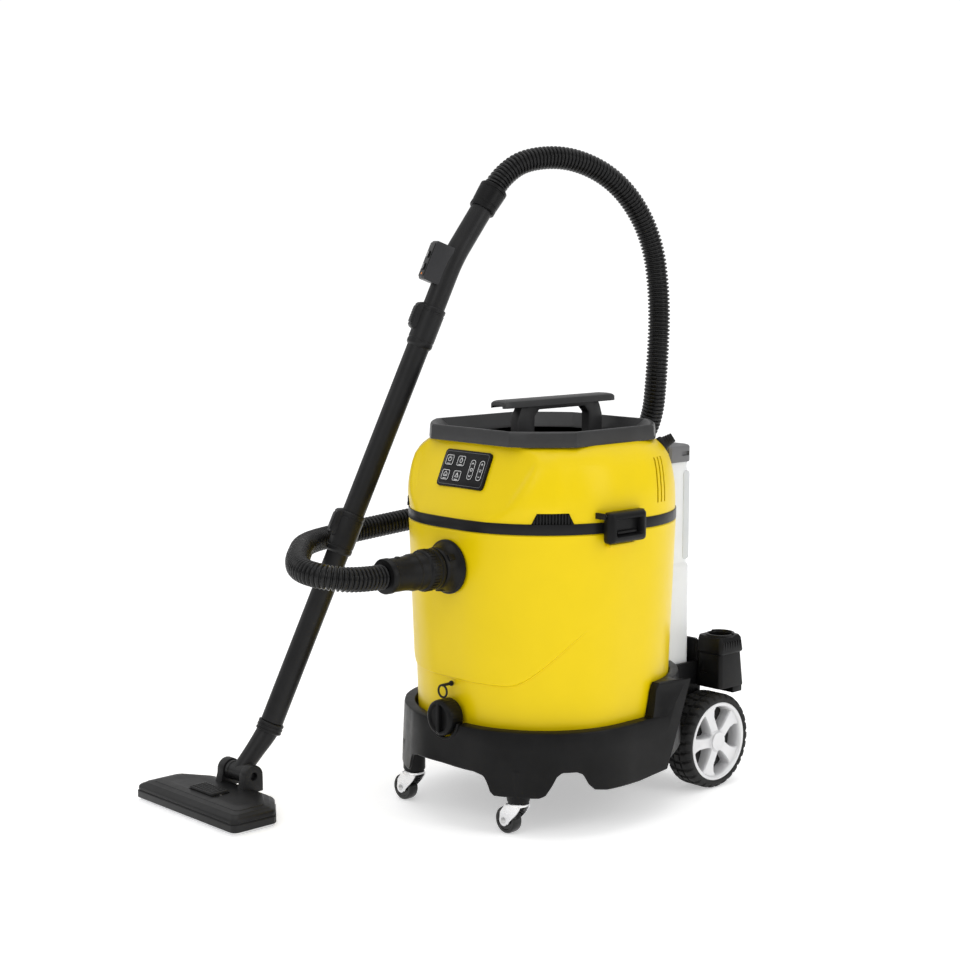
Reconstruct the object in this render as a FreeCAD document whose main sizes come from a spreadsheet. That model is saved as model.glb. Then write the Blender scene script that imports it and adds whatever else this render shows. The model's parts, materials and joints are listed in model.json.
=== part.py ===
"""Wheeled canister carpet cleaner: trolley, recovery tank, motor head, clean-water tank, hose and wand.

The whole model is laid out round the drum's vertical axis. -Y is the front, where the hose
plugs in, and +X is the side of the tool holder. Every size is a cell of the sheet "Sizes", in mm.
"""
import FreeCAD, Part, Sketcher
import math
import os
from types import SimpleNamespace

V = FreeCAD.Vector
doc = FreeCAD.newDocument("carpet_cleaner")
sheet = doc.addObject("Spreadsheet::Sheet", "Sizes")

CELLS = """
drum_axis_x 100          drum axis, right of the middle of the machine's footprint
drum_axis_y 80           drum axis, behind the middle of the machine's footprint
flat_half 22             half length of the straight part of each side of the drum
wall 3.2                 wall of the large mouldings
gap 0.3                  clearance between pieces that come apart
fit 0.05                 radial clearance of a shaft in its hole
tank_foot_half 182       half width of the recovery tank at its floor
tank_top_half 194        half width of the recovery tank at its mouth
tank_floor_z 106         underside of the recovery tank
tank_top_z 441           mouth of the recovery tank
inlet_z 385              height of the suction inlet
inlet_bore 22.3          radius of the inlet's bore
inlet_length 46          length of the inlet tube
inlet_back 16            reach of the inlet behind the drum's wall
connector_plug 34        reach of the hose connector into the inlet
inlet_flange_radius 40   radius of the inlet's round bezel
connector_length 96      hose connector outside the inlet
connector_radius 30      largest radius of the hose connector
connector_end_radius 24.5 radius of the hose connector where the hose leaves it
hose_radius 18           outer radius of the hose
hose_bore 15.5           inner radius of the hose's cuffs
drain_z 162              height of the drain
drain_radius 16.5        outer radius of the drain spout
drain_back 12            reach of the drain spout behind the drum's wall
drain_cap_radius 27      radius of the drain cap
drain_cap_depth 26       depth of the drain cap
base_foot_half 206       half width of the trolley at its lower edge
base_lip_half 202        half width of the trolley at its lip
base_foot_z 60           lower edge of the trolley's corner legs
base_lip_z 156           lip of the trolley
base_deck_z 98           underside of the trolley's deck
base_deck_thick 7.6      thickness of the trolley's deck
base_wall 4              wall of the trolley's skirt
arch_half 82             half width of the front arch
arch_z 93                top of the front arch
side_arch_width 56       width of each side arch
side_arch_z 97           top of each side arch
side_arch_x 190          middle of each side arch, across
side_arch_y 124          middle of each side arch, forward
chassis_half 108.5       half width of the rear chassis between the wheels
chassis_back_y 250       rear face of the chassis
chassis_cheek 7          thickness of the chassis cheeks
chassis_cheek_z 195      top of the chassis cheeks
chassis_back_z 230       top of the chassis back wall
axle_y 235               rear axle, behind the drum axis
axle_radius 6            radius of the rear axle
wheel_radius 75          radius of the rear wheels
wheel_width 50           width of the rear wheels
wheel_room 7             clearance of the wheel arches round the tyres
wheel_inner_x 111        inner face of each rear wheel
rim_radius 59.8          outer radius of the wheel's rim
rim_wall 6               thickness of the wheel's rim
rim_width 46             width of the wheel's rim
hub_radius 17            radius of the wheel's middle
spoke_width 20           width of a spoke
caster_x 114             caster stem, each side of the drum axis
caster_y 161             caster stem, forward of the drum axis
caster_radius 20         radius of a caster wheel
caster_width 17          width of a caster wheel
caster_trail 20          trail of a caster wheel behind its stem
caster_boss_z 50         underside of the caster boss
caster_boss_radius 21    radius of the caster boss
stem_radius 5.5          radius of the caster stem
stem_length 34           length of the caster stem in its boss
pin_radius 3             radius of the caster's axle rivet
band_height 15.7         height of the band round the head's foot
band_half 194.5          half width of the band
band_width 24            width of the band's ring
plate_thick 5            thickness of the motor plate
head_foot_half 193       half width of the head at its foot
head_waist_half 192      half width of the head above its foot
head_waist_z 495         height where the head starts to narrow
head_shoulder_half 182.5 half width of the head at its shoulder
head_shoulder_z 536      height of the head's shoulder
head_turn_half 168       half width of the head where its shoulder turns over
head_turn_z 555          height where the head's shoulder turns over
head_top_half 154        half width of the head's flat top
head_top_z 563           height of the head's flat top
slot_width 2.5           width of a cooling slot
slot_foot_z 474          lower end of the cooling slots
slot_top_z 541           upper end of the cooling slots
slot_y 48                first cooling slot, behind the drum axis
slot_pitch 10            spacing of the cooling slots
grille_width 58          width of a corner grille
grille_height 16         height of a corner grille
grille_x 154             middle of a corner grille, across
grille_y 133             middle of a corner grille, forward
tray_flat_half 42        half length of the straight part of the tray's sides
tray_half 150            half width of the tray's rim
tray_tub_half 133        half width of the tray's tub
tray_tub_z 545           underside of the tray's tub
tray_rim_z 585           top of the tray's rim
tray_rim_width 6         width of the tray's rim
tray_floor 4             thickness of the tray's floor
handle_front_y 95        front end of the handle's bar
handle_back_y 146        rear end of the handle's bar
handle_top_z 622         top of the handle's bar
handle_bar_width 36      width of the handle's bar
handle_bar_thick 8       thickness of the handle's bar
handle_web_width 16      width of the handle's legs
handle_web_front_y 60    front face of the front leg
handle_web_back_y 124    rear face of the rear leg
handle_gap_front_y 24    front of the finger gap
handle_gap_back_y 94     rear of the finger gap
handle_gap_z 559         foot of the finger gap
latch_y 36               middle of each latch, forward of the drum axis
latch_width 76           width of a latch
latch_inner_x 196        inner face of a latch
latch_thick 18           thickness of a latch
latch_foot_z 428         lower edge of a latch
latch_top_z 473          upper edge of a latch
latch_pivot_x 200        pivot of a latch, across
latch_pivot_z 468        height of a latch's pivot
latch_pin_radius 2.5     radius of a latch's pivot pins
latch_ear 6              thickness of an ear that carries a latch
panel_y 160.5            middle of the sloping front, forward
panel_z 524.6            height of the middle of the sloping front
panel_slope 23.9         slope of the front from upright, in degrees
panel_width 97           width of the control panel
panel_height 57          height of the control panel, along the slope
panel_thick 2.5          thickness of the control panel
key_side 17              side of a square key
key_left_x 34            left column of square keys
key_mid_x 9.5            right column of square keys
key_row 11.5             rows of square keys above and below the middle
pill_width 12            width of a long key
pill_height 32           height of a long key
pill_mid_x 17            first long key
pill_right_x 36          second long key
key_travel 1             travel of a key
gland_x 122              foot of the cord gland, across
gland_y 130              foot of the cord gland, behind the drum axis
gland_z 548              height of the cord gland's foot
gland_radius 12          radius of the cord gland
motor_housing_radius 84  outer radius of the motor housing
motor_housing_z 540      top of the motor housing
motor_radius 46          radius of the motor
motor_foot_z 478         underside of the motor's flange
motor_top_z 530          top of the motor
shaft_radius 5           radius of the motor's shaft
impeller_radius 62       radius of the impeller
impeller_foot_z 456      underside of the impeller
impeller_height 14       height of the impeller
eye_radius 30            radius of the air inlet in the motor plate
cage_radius 62           outer radius of the float cage
cage_foot_z 356          underside of the float cage
float_radius 50          radius of the float
float_height 40          height of the float
clean_half_x 100         half width of the clean-water tank
clean_front_y 178        front edge of the clean-water tank
clean_back_y 235         rear face of the clean-water tank
clean_corner 14          corner radius of the clean-water tank
clean_top_z 514          top of the clean-water tank
clean_wall 2.5           wall of the clean-water tank
clean_lid_z 541          top of the clean-water tank's lid
drum_clearance 3.5       gap from the drum to the clean-water tank
neck_radius 15           radius of the filler neck
neck_x 55                filler neck, across
neck_y 216               filler neck, behind the drum axis
holder_outer_x 160       outer face of the tool holder
holder_front_y 237       front face of the tool holder
holder_back_y 297        rear face of the tool holder
holder_foot_z 157        underside of the tool holder
holder_top_z 242         top of the tool holder
holder_leg_z 146         underside of the tool holder's rear leg
holder_leg_y 270         front face of the tool holder's rear leg
socket_radius 17.8       radius of the tool socket
socket_depth 78          depth of the tool socket
socket_y 266             tool socket, behind the drum axis
wand_radius 17.5         radius of the wand's tubes
wand_bore 15.5           bore of the wand's tubes
sleeve_radius 20.5       radius of the wand's sleeves
lower_length 290         lower tube, without its sleeve
upper_length 335         upper tube, without its sleeve
sleeve_length 62         length of a sleeve
button_inset 20.5        middle of a release button, below its sleeve's end
grip_length 145          straight lower part of the grip
button_width 15          width of a release button
button_height 27         height of a release button
button_travel 3          travel of a release button
remote_width 32          width of the remote-control box
remote_height 62         height of the remote-control box
remote_depth 20          depth of the remote-control box
nozzle_half_x 128.5      half width of the floor nozzle
nozzle_half_y 57.5       half depth of the floor nozzle
nozzle_corner 10         corner radius of the floor nozzle
nozzle_clip 38           angle of the floor nozzle's clipped rear corners, in degrees
nozzle_x 285.5           middle of the nozzle, left of the drum axis
nozzle_y 412.5           middle of the nozzle, forward of the drum axis
nozzle_height 34         height of the nozzle's body
nozzle_wall 3            wall of the nozzle's body
sole_thick 4             thickness of the sole plate
sole_z 1.5               underside of the sole plate
bristle_length 7         height of the brush strips
bristle_lift 5           travel of the brush strips
mouth_length 210         length of the nozzle's mouth
mouth_width 16           width of the nozzle's mouth
pivot_y 365              nozzle pivot, forward of the drum axis
pivot_z 51               height of the nozzle pivot
barrel_radius 15         radius of the nozzle pivot's barrel
barrel_half 20           half length of the nozzle pivot's barrel
trunnion_radius 6        radius of the nozzle pivot's trunnions
"""


class Size:
    """A length, with the sheet formula that gives it."""

    def __init__(self, number, formula=None):
        self.number = float(number)
        self.formula = formula or repr(float(number))

    def _with(self, other, sign, number):
        return Size(number, f"({self.formula} {sign} {size(other).formula})")

    def __add__(self, other):
        return self._with(other, "+", self.number + size(other).number)

    def __sub__(self, other):
        return self._with(other, "-", self.number - size(other).number)

    def __mul__(self, other):
        return self._with(other, "*", self.number * size(other).number)

    def __truediv__(self, other):
        return self._with(other, "/", self.number / size(other).number)

    def __radd__(self, other):
        return size(other) + self

    def __rsub__(self, other):
        return size(other) - self

    def __rmul__(self, other):
        return size(other) * self

    def __neg__(self):
        return size(0) - self


def size(value):
    """A plain number as a Size; a Size as it is."""
    return value if isinstance(value, Size) else Size(value)


def read_cells():
    """Fill the sheet with every size and its meaning; give the sizes by name."""
    sizes = {}
    for row, line in enumerate(CELLS.strip().splitlines(), start=1):
        alias, number, meaning = line.split(maxsplit=2)
        sheet.set(f"A{row}", meaning)
        sheet.set(f"B{row}", number)
        sheet.setAlias(f"B{row}", alias)
        sizes[alias] = Size(number, f"Sizes.{alias}")
    doc.recompute()
    return SimpleNamespace(**sizes)


s = read_cells()
nodes = {}
UPRIGHT = FreeCAD.Rotation()
FORWARD = FreeCAD.Rotation(V(0, 0, 1), V(0, -1, 0))
SIDEWAYS = FreeCAD.Rotation(V(0, 0, 1), V(1, 0, 0))
SIDES = {"left": -1, "right": 1}


# ---- Building blocks -------------------------------------------------------------------------


def bind(item, **values):
    """Tie properties of a document object to the sheet."""
    for name, value in values.items():
        item.setExpression(name, size(value).formula)
    return item


def move(item, x, y, z, turn=UPRIGHT):
    """Give an object its turn and its place."""
    item.Placement = FreeCAD.Placement(V(0, 0, 0), turn)
    for axis, value in zip("xyz", (x, y, z)):
        item.setExpression(f"Placement.Base.{axis}", size(value).formula)
    return item


def block(length, width, height, x=0, y=0, z=0):
    """A box with the middle of its foot at x, y, z."""
    item = bind(doc.addObject("Part::Box", "Block"), Length=length, Width=width, Height=height)
    return move(item, x - size(length) / 2, y - size(width) / 2, z)


def span(low, high):
    """A box from its lowest corner to its highest."""
    lengths = [size(b) - a for a, b in zip(low, high)]
    item = doc.addObject("Part::Box", "Block")
    bind(item, Length=lengths[0], Width=lengths[1], Height=lengths[2])
    return move(item, *low)


def turned_block(length, width, height, x, y, z, turn):
    """A box turned about its own middle, which is at x, y, z."""
    item = bind(doc.addObject("Part::Box", "Block"), Length=length, Width=width, Height=height)
    columns = [turn.multVec(axis) for axis in (V(1, 0, 0), V(0, 1, 0), V(0, 0, 1))]
    corner = []
    for middle, row in zip((x, y, z), range(3)):
        reach = size(length) * columns[0][row] + size(width) * columns[1][row]
        corner.append(middle - (reach + size(height) * columns[2][row]) / 2)
    return move(item, *corner, turn)


def rod(radius, length, x=0, y=0, z=0, turn=UPRIGHT):
    """A round bar from x, y, z along the turned Z axis."""
    item = bind(doc.addObject("Part::Cylinder", "Rod"), Radius=radius, Height=length)
    return move(item, x, y, z, turn)


def ball(radius, x=0, y=0, z=0):
    return move(bind(doc.addObject("Part::Sphere", "Ball"), Radius=radius), x, y, z)


def cut(base, *tools):
    item = doc.addObject("Part::Cut", "Cut")
    item.Base = base
    item.Tool = tools[0] if len(tools) == 1 else fuse(*tools)
    return item


def fuse(*shapes):
    item = doc.addObject("Part::MultiFuse", "Fuse")
    item.Shapes = list(shapes)
    item.Refine = True
    return item


def group(*shapes):
    item = doc.addObject("Part::Compound", "Group")
    item.Links = list(shapes)
    return item


def plane(body, role):
    return next(item for item in body.Origin.OriginFeatures if item.Role == role)


def new_sketch(body, role, height=0):
    """A sketch on one of the body's own planes, raised by height."""
    sketch = body.newObject("Sketcher::SketchObject", "Sketch")
    sketch.AttachmentSupport = [(plane(body, role), "")]
    sketch.MapMode = "FlatFace"
    sketch.setExpression("AttachmentOffset.Base.z", size(height).formula)
    return sketch


def dimension(sketch, kind, value, *where):
    """A driving dimension of a sketch, tied to the sheet."""
    index = sketch.addConstraint(Sketcher.Constraint(kind, *where, size(value).number))
    sketch.setExpression(f"Constraints[{index}]", size(value).formula)


def locate(sketch, geometry, point, x, y):
    """Fix one sketch point at x, y."""
    for kind, value, axis in (("DistanceX", x, -2), ("DistanceY", y, -1)):
        if size(value).number == 0:
            sketch.addConstraint(Sketcher.Constraint("PointOnObject", geometry, point, axis))
        else:
            dimension(sketch, kind, value, -1, 1, geometry, point)


def rounded_outline(sketch, half_x, half_y, corner):
    """A rectangle with rounded corners about the sketch's origin."""
    x, y, radius = size(half_x).number, size(half_y).number, size(corner).number
    signs = ((1, 1), (-1, 1), (-1, -1), (1, -1))
    for quarter, (right, up) in enumerate(signs):
        middle = V(right * (x - radius), up * (y - radius), 0)
        circle = Part.Circle(middle, V(0, 0, 1), radius)
        start = quarter * math.pi / 2
        sketch.addGeometry(Part.ArcOfCircle(circle, start, start + math.pi / 2), False)
        locate(sketch, quarter, 3, right * (half_x - corner), up * (half_y - corner))
        dimension(sketch, "Radius", corner, quarter)
    for quarter in range(4):
        start = sketch.getPoint(quarter, 2)
        end = sketch.getPoint((quarter + 1) % 4, 1)
        line = sketch.addGeometry(Part.LineSegment(start, end), False)
        sketch.addConstraint(Sketcher.Constraint("Tangent", quarter, 2, line, 1))
        sketch.addConstraint(Sketcher.Constraint("Tangent", line, 2, (quarter + 1) % 4, 1))


def slab(half_x, half_y, corner, low, high, y=0):
    """An upright block with rounded corners."""
    body = doc.addObject("PartDesign::Body", "Slab")
    sketch = new_sketch(body, "XY_Plane", low)
    sketch.setExpression("AttachmentOffset.Base.y", size(y).formula)
    rounded_outline(sketch, half_x, half_y, corner)
    pad = body.newObject("PartDesign::Pad", "Pad")
    pad.Profile = sketch
    bind(pad, Length=size(high) - low)
    return body


def stack(flat, *sections, y=0):
    """A rounded square whose half width changes with height; flat is half of each straight side."""
    body = doc.addObject("PartDesign::Body", "Stack")
    sketches = []
    for height, half in sections:
        sketch = new_sketch(body, "XY_Plane", height)
        sketch.setExpression("AttachmentOffset.Base.y", size(y).formula)
        rounded_outline(sketch, half, half, half - flat)
        sketches.append(sketch)
    loft = body.newObject("PartDesign::AdditiveLoft", "Loft")
    loft.Profile = sketches[0]
    loft.Sections = sketches[1:]
    loft.Ruled = True
    return body


def turned(*points):
    """A solid of revolution about Z, from the corners (radius, height) of its half section."""
    body = doc.addObject("PartDesign::Body", "Turned")
    sketch = new_sketch(body, "XZ_Plane")
    corners = [V(size(r).number, size(z).number, 0) for r, z in points]
    count = len(points)
    for index in range(count):
        sketch.addGeometry(Part.LineSegment(corners[index], corners[(index + 1) % count]), False)
    for index, (r, z) in enumerate(points):
        sketch.addConstraint(Sketcher.Constraint("Coincident", index, 2, (index + 1) % count, 1))
        locate(sketch, index, 1, r, z)
    revolution = body.newObject("PartDesign::Revolution", "Revolution")
    revolution.Profile = sketch
    revolution.ReferenceAxis = (sketch, ["V_Axis"])
    revolution.Angle = 360
    return body


def node(label, item, x=0, y=0, z=0, turn=UPRIGHT):
    """Name a sub-part and stand it at x, y, z from the foot of the drum's axis."""
    if item.TypeId not in ("PartDesign::Body", "Part::Cut", "Part::MultiFuse", "Part::Compound"):
        item = group(item)
    move(item, s.drum_axis_x + x, s.drum_axis_y + y, z, turn)
    item.Label = label
    nodes[label] = item
    return item


# ---- Trolley ---------------------------------------------------------------------------------

deck_top = s.base_deck_z + s.base_deck_thick
lip_clearance = s.gap * 2
clean_foot_z = s.base_lip_z + s.gap


def tank_half(z):
    """Half width of the recovery tank at a height."""
    share = (size(z) - s.tank_floor_z) / (s.tank_top_z - s.tank_floor_z)
    return s.tank_foot_half + (s.tank_top_half - s.tank_foot_half) * share


def base_trolley():
    flat = s.flat_half
    recess_half = tank_half(s.base_lip_z) + lip_clearance
    shell_top = s.base_lip_z - s.base_wall
    outer = stack(flat, (s.base_foot_z, s.base_foot_half), (s.base_lip_z, s.base_lip_half))
    inside = stack(flat, (s.base_foot_z - 1, s.base_foot_half - s.base_wall),
                   (shell_top, s.base_lip_half - s.base_wall))
    core_half = recess_half + s.base_wall
    core = slab(core_half, core_half, core_half - flat, s.base_deck_z, s.base_lip_z + 1)
    skirt = cut(outer, cut(inside, core))
    arches = [span((-s.arch_half, -s.base_foot_half - 20, s.base_foot_z - 5),
                   (s.arch_half, -s.base_foot_half + 60, s.arch_z))]
    for side in SIDES.values():
        lean = FreeCAD.Rotation(V(0, 0, 1), side * -33)
        height = s.side_arch_z - s.base_foot_z + 5
        arches.append(turned_block(60, s.side_arch_width, height, side * s.side_arch_x,
                                   -s.side_arch_y, s.side_arch_z - height / 2, lean))
    solids = [cut(skirt, *arches)]
    for side in SIDES.values():
        solids.append(rod(s.caster_boss_radius, s.base_deck_z + 1 - s.caster_boss_z,
                          side * s.caster_x, -s.caster_y, s.caster_boss_z))
        solids.append(block(s.chassis_cheek, s.chassis_back_y - 150, s.chassis_cheek_z - s.base_foot_z,
                            side * (s.chassis_half - s.chassis_cheek / 2),
                            (s.chassis_back_y + 150) / 2, s.base_foot_z))
    solids.append(block(s.chassis_half * 2, s.chassis_back_y - 150, 8,
                        0, (s.chassis_back_y + 150) / 2, s.base_lip_z - 8))
    solids.append(block(s.chassis_half * 2, s.chassis_cheek, s.chassis_back_z - s.base_foot_z,
                        0, s.chassis_back_y - s.chassis_cheek / 2, s.base_foot_z))
    solids.append(block(s.chassis_half * 2, 26, 26, 0, s.axle_y, s.wheel_radius - 13))
    upper_half = tank_half(s.chassis_back_z) + lip_clearance
    holes = [slab(recess_half, recess_half, recess_half - flat, deck_top, s.base_lip_z + 1),
             slab(upper_half, upper_half, upper_half - flat, s.base_lip_z, s.chassis_back_z + 5)]
    holes.append(rod(s.axle_radius + s.fit, s.chassis_half * 2 + 4, -s.chassis_half - 2,
                     s.axle_y, s.wheel_radius, SIDEWAYS))
    holes.append(rod(s.drain_cap_radius + 2, 60, 0, -s.base_lip_half + 30, s.drain_z, FORWARD))
    for side in SIDES.values():
        holes.append(rod(s.stem_radius + s.fit, s.stem_length + 3, side * s.caster_x, -s.caster_y,
                         s.caster_boss_z - 1))
        outward = FreeCAD.Rotation(V(0, 0, 1), V(side, 0, 0))
        holes.append(rod(s.wheel_radius + s.wheel_room, s.base_foot_half, side * s.chassis_half,
                         s.axle_y, s.wheel_radius, outward))
    node("base_trolley", cut(fuse(*solids), *holes))
    node("rear_axle", rod(s.axle_radius, (s.wheel_inner_x + s.rim_width) * 2,
                          -s.wheel_inner_x - s.rim_width, s.axle_y, s.wheel_radius, SIDEWAYS))


def rear_wheel(name, side):
    """Tyre, spoked hub and cap, drawn about Z with the outer face up."""
    turn = FreeCAD.Rotation(V(0, 0, 1), V(side, 0, 0))
    place = (side * s.wheel_inner_x, s.axle_y, s.wheel_radius, turn)
    shoulder = 6
    bead = s.rim_radius + 0.2
    tyre = turned((bead, 1), (s.wheel_radius - shoulder, 0), (s.wheel_radius, shoulder),
                  (s.wheel_radius, s.wheel_width - shoulder), (s.wheel_radius - shoulder, s.wheel_width),
                  (bead, s.wheel_width - 1))
    node(f"tyre_{name}", tyre, *place)
    rim_inner = s.rim_radius - s.rim_wall
    low = (s.wheel_width - s.rim_width) / 2
    rim = turned((rim_inner, low), (s.rim_radius, low), (s.rim_radius, low + s.rim_width),
                 (rim_inner, low + s.rim_width))
    shapes = [rim, rod(s.hub_radius, s.rim_width, z=low)]
    for index in range(5):
        around = FreeCAD.Rotation(V(0, 0, 1), 72 * index + 18)
        reach = s.rim_radius - s.rim_wall / 2
        arm = around.multVec(V(1, 0, 0))
        shapes.append(turned_block(reach, s.spoke_width, 10, reach / 2 * arm.x, reach / 2 * arm.y,
                                   low + s.rim_width - 12, around))
    bore = rod(s.axle_radius + s.fit, s.wheel_width, z=low - 1)
    node(f"wheel_hub_{name}", cut(fuse(*shapes), bore), *place)
    node(f"hub_cap_{name}", rod(s.hub_radius - 2, 2.5, z=low + s.rim_width), *place)


def caster(name, side):
    """Swivel fork with its stem and rivet, and the wheel; the wheel trails to the left."""
    stem = (side * s.caster_x, -s.caster_y)
    plate_z = s.caster_boss_z - 4
    cheek_y = s.caster_width / 2 + 1.6
    shapes = [rod(s.stem_radius, s.stem_length + 4, z=plate_z),
              rod(16, 3.7, z=plate_z)]
    for way in (-1, 1):
        shapes.append(span((-s.caster_trail - 7, way * cheek_y - 1, s.caster_radius - 7),
                           (12, way * cheek_y + 1, plate_z + 1)))
    pin_length = cheek_y * 2 + 6
    shapes.append(rod(s.pin_radius, pin_length, -s.caster_trail, pin_length / 2,
                      s.caster_radius, FORWARD))
    node(f"caster_fork_{name}", fuse(*shapes), *stem)
    half = s.caster_width / 2
    bore = s.pin_radius + s.fit
    wheel = turned((bore, -half), (s.caster_radius - 3, -half), (s.caster_radius, 3 - half),
                   (s.caster_radius, half - 3), (s.caster_radius - 3, half), (bore, half))
    node(f"caster_wheel_{name}", wheel, stem[0] - s.caster_trail, stem[1], s.caster_radius, FORWARD)


# ---- Recovery tank, inlet and drain ----------------------------------------------------------

inlet_wall_y = tank_half(s.inlet_z)
drain_wall_y = tank_half(s.drain_z)


def recovery_tank():
    flat = s.flat_half
    outer = stack(flat, (s.tank_floor_z, s.tank_foot_half), (s.tank_top_z, s.tank_top_half))
    inside = stack(flat, (s.tank_floor_z + s.wall, s.tank_foot_half - s.wall),
                   (s.tank_top_z + 1, s.tank_top_half - s.wall))
    inlet_hole = rod(s.inlet_bore + 4.7, 60, 0, 20 - inlet_wall_y, s.inlet_z, FORWARD)
    drain_hole = rod(s.drain_radius + 0.4, 60, 0, 20 - drain_wall_y, s.drain_z, FORWARD)
    shell = cut(outer, inside, inlet_hole, drain_hole)
    keepers = []
    for side in SIDES.values():
        keepers.append(block(9, s.latch_width - 24, 4, side * (s.latch_inner_x - 2.5),
                             -s.latch_y, s.latch_foot_z - 4.6))
    node("recovery_tank", fuse(shell, *keepers))


def inlet():
    """The round bezel with its tube, and the hose connector plugged into it."""
    back = s.inlet_back
    flange = back + 1.8
    tube = s.inlet_bore + 4.4
    port = turned((s.inlet_bore, 0), (tube, 0), (tube, flange), (s.inlet_flange_radius, flange),
                  (s.inlet_flange_radius, flange + 4), (s.inlet_bore + 9, s.inlet_length - 9),
                  (s.inlet_bore + 7, s.inlet_length), (s.inlet_bore, s.inlet_length))
    node("inlet_port", port, 0, back - inlet_wall_y, s.inlet_z, FORWARD)
    plug = s.connector_plug
    start = back - inlet_wall_y - s.inlet_length
    end = s.connector_length + plug
    connector = turned((s.hose_bore, 0), (s.inlet_bore - 0.3, 0), (s.inlet_bore - 0.3, plug),
                       (s.connector_radius, plug), (s.connector_radius, plug + 26),
                       (s.connector_radius - 3, plug + 29), (s.connector_radius - 3, plug + 44),
                       (s.connector_end_radius, plug + 60), (s.connector_end_radius, end),
                       (s.hose_bore, end))
    node("hose_connector", connector, 0, start + plug - s.gap, s.inlet_z, FORWARD)
    return start - s.gap - s.connector_length


def drain():
    back = s.drain_back
    flange = back + 1
    spout = turned((13, 0), (s.drain_radius, 0), (s.drain_radius, flange), (s.drain_radius + 4, flange),
                   (s.drain_radius + 4, flange + 3), (s.drain_radius, flange + 3),
                   (s.drain_radius, flange + 20), (13, flange + 20))
    node("drain_spout", spout, 0, back - drain_wall_y, s.drain_z, FORWARD)
    bore = s.drain_radius + s.gap
    cap = turned((bore, 0), (s.drain_cap_radius, 0), (s.drain_cap_radius, s.drain_cap_depth - 3),
                 (s.drain_cap_radius - 3, s.drain_cap_depth), (0, s.drain_cap_depth),
                 (0, s.drain_cap_depth - 6), (bore, s.drain_cap_depth - 6))
    rib = block(5, (s.drain_cap_radius - 3) * 2, 4, z=s.drain_cap_depth - 0.5)
    face = flange + 3 + s.gap
    node("drain_cap", fuse(cap, rib), 0, back - face - drain_wall_y, s.drain_z, FORWARD)
    ring = move(bind(doc.addObject("Part::Torus", "Ring"), Radius1=9, Radius2=1.6),
                0, -16, s.drain_cap_radius + 12, FORWARD)
    lug = rod(2.2, 17.2, 0, 0.8, s.drain_cap_radius + 21, FORWARD)
    lug_end = rod(4, 2.4, 0, 2.4, s.drain_cap_radius + 21, FORWARD)
    node("drain_tether", fuse(ring, lug, lug_end), 0, -drain_wall_y - 5, s.drain_z)


# ---- Head --------------------------------------------------------------------------------------

band_foot_z = s.tank_top_z + s.gap
head_foot_z = band_foot_z + s.band_height
plate_top_z = band_foot_z + 4 + s.plate_thick
slope = FreeCAD.Rotation(V(1, 0, 0), -s.panel_slope.number)
panel_in = slope.multVec(V(0, 1, 0))
panel_up = slope.multVec(V(0, 0, 1))


def on_panel(x, up, depth):
    """A point of the sloping front: across, up the slope, and inwards from it."""
    return (size(x), size(depth) * panel_in.y + size(up) * panel_up.y - s.panel_y,
            size(depth) * panel_in.z + size(up) * panel_up.z + s.panel_z)


def front_cut(depth):
    """All that stands proud of the sloping front, or of a plane at some depth behind it."""
    return turned_block(500, 120, 300, *on_panel(0, 0, size(depth) - 60), slope)


def head_shell(inset, foot, top):
    """The head's outer form, or the hollow that lies inset from it."""
    sections = [(foot, s.head_foot_half - inset), (s.head_waist_z, s.head_waist_half - inset),
                (s.head_shoulder_z, s.head_shoulder_half - inset),
                (s.head_turn_z - size(inset) / 2, s.head_turn_half - inset), (top, s.head_top_half - inset)]
    return cut(stack(s.flat_half, *sections), front_cut(inset))


def corner_block(width, height, depth, side, z):
    """A block across a front corner of the head."""
    turn = FreeCAD.Rotation(V(0, 0, 1), side * (math.degrees(math.atan2(
        s.grille_x.number, s.grille_y.number))))
    return turned_block(width, depth, height, side * s.grille_x, -s.grille_y,
                        z + size(height) / 2, turn)


gland_turn = FreeCAD.Rotation(V(0, 0, 1), V(1, 1, 0.9))


def gland_foot(along):
    """A point on the cord gland's axis, so far out from its foot."""
    out = gland_turn.multVec(V(0, 0, 1))
    return (s.gland_x + along * out.x, s.gland_y + along * out.y, s.gland_z + along * out.z)


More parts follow.
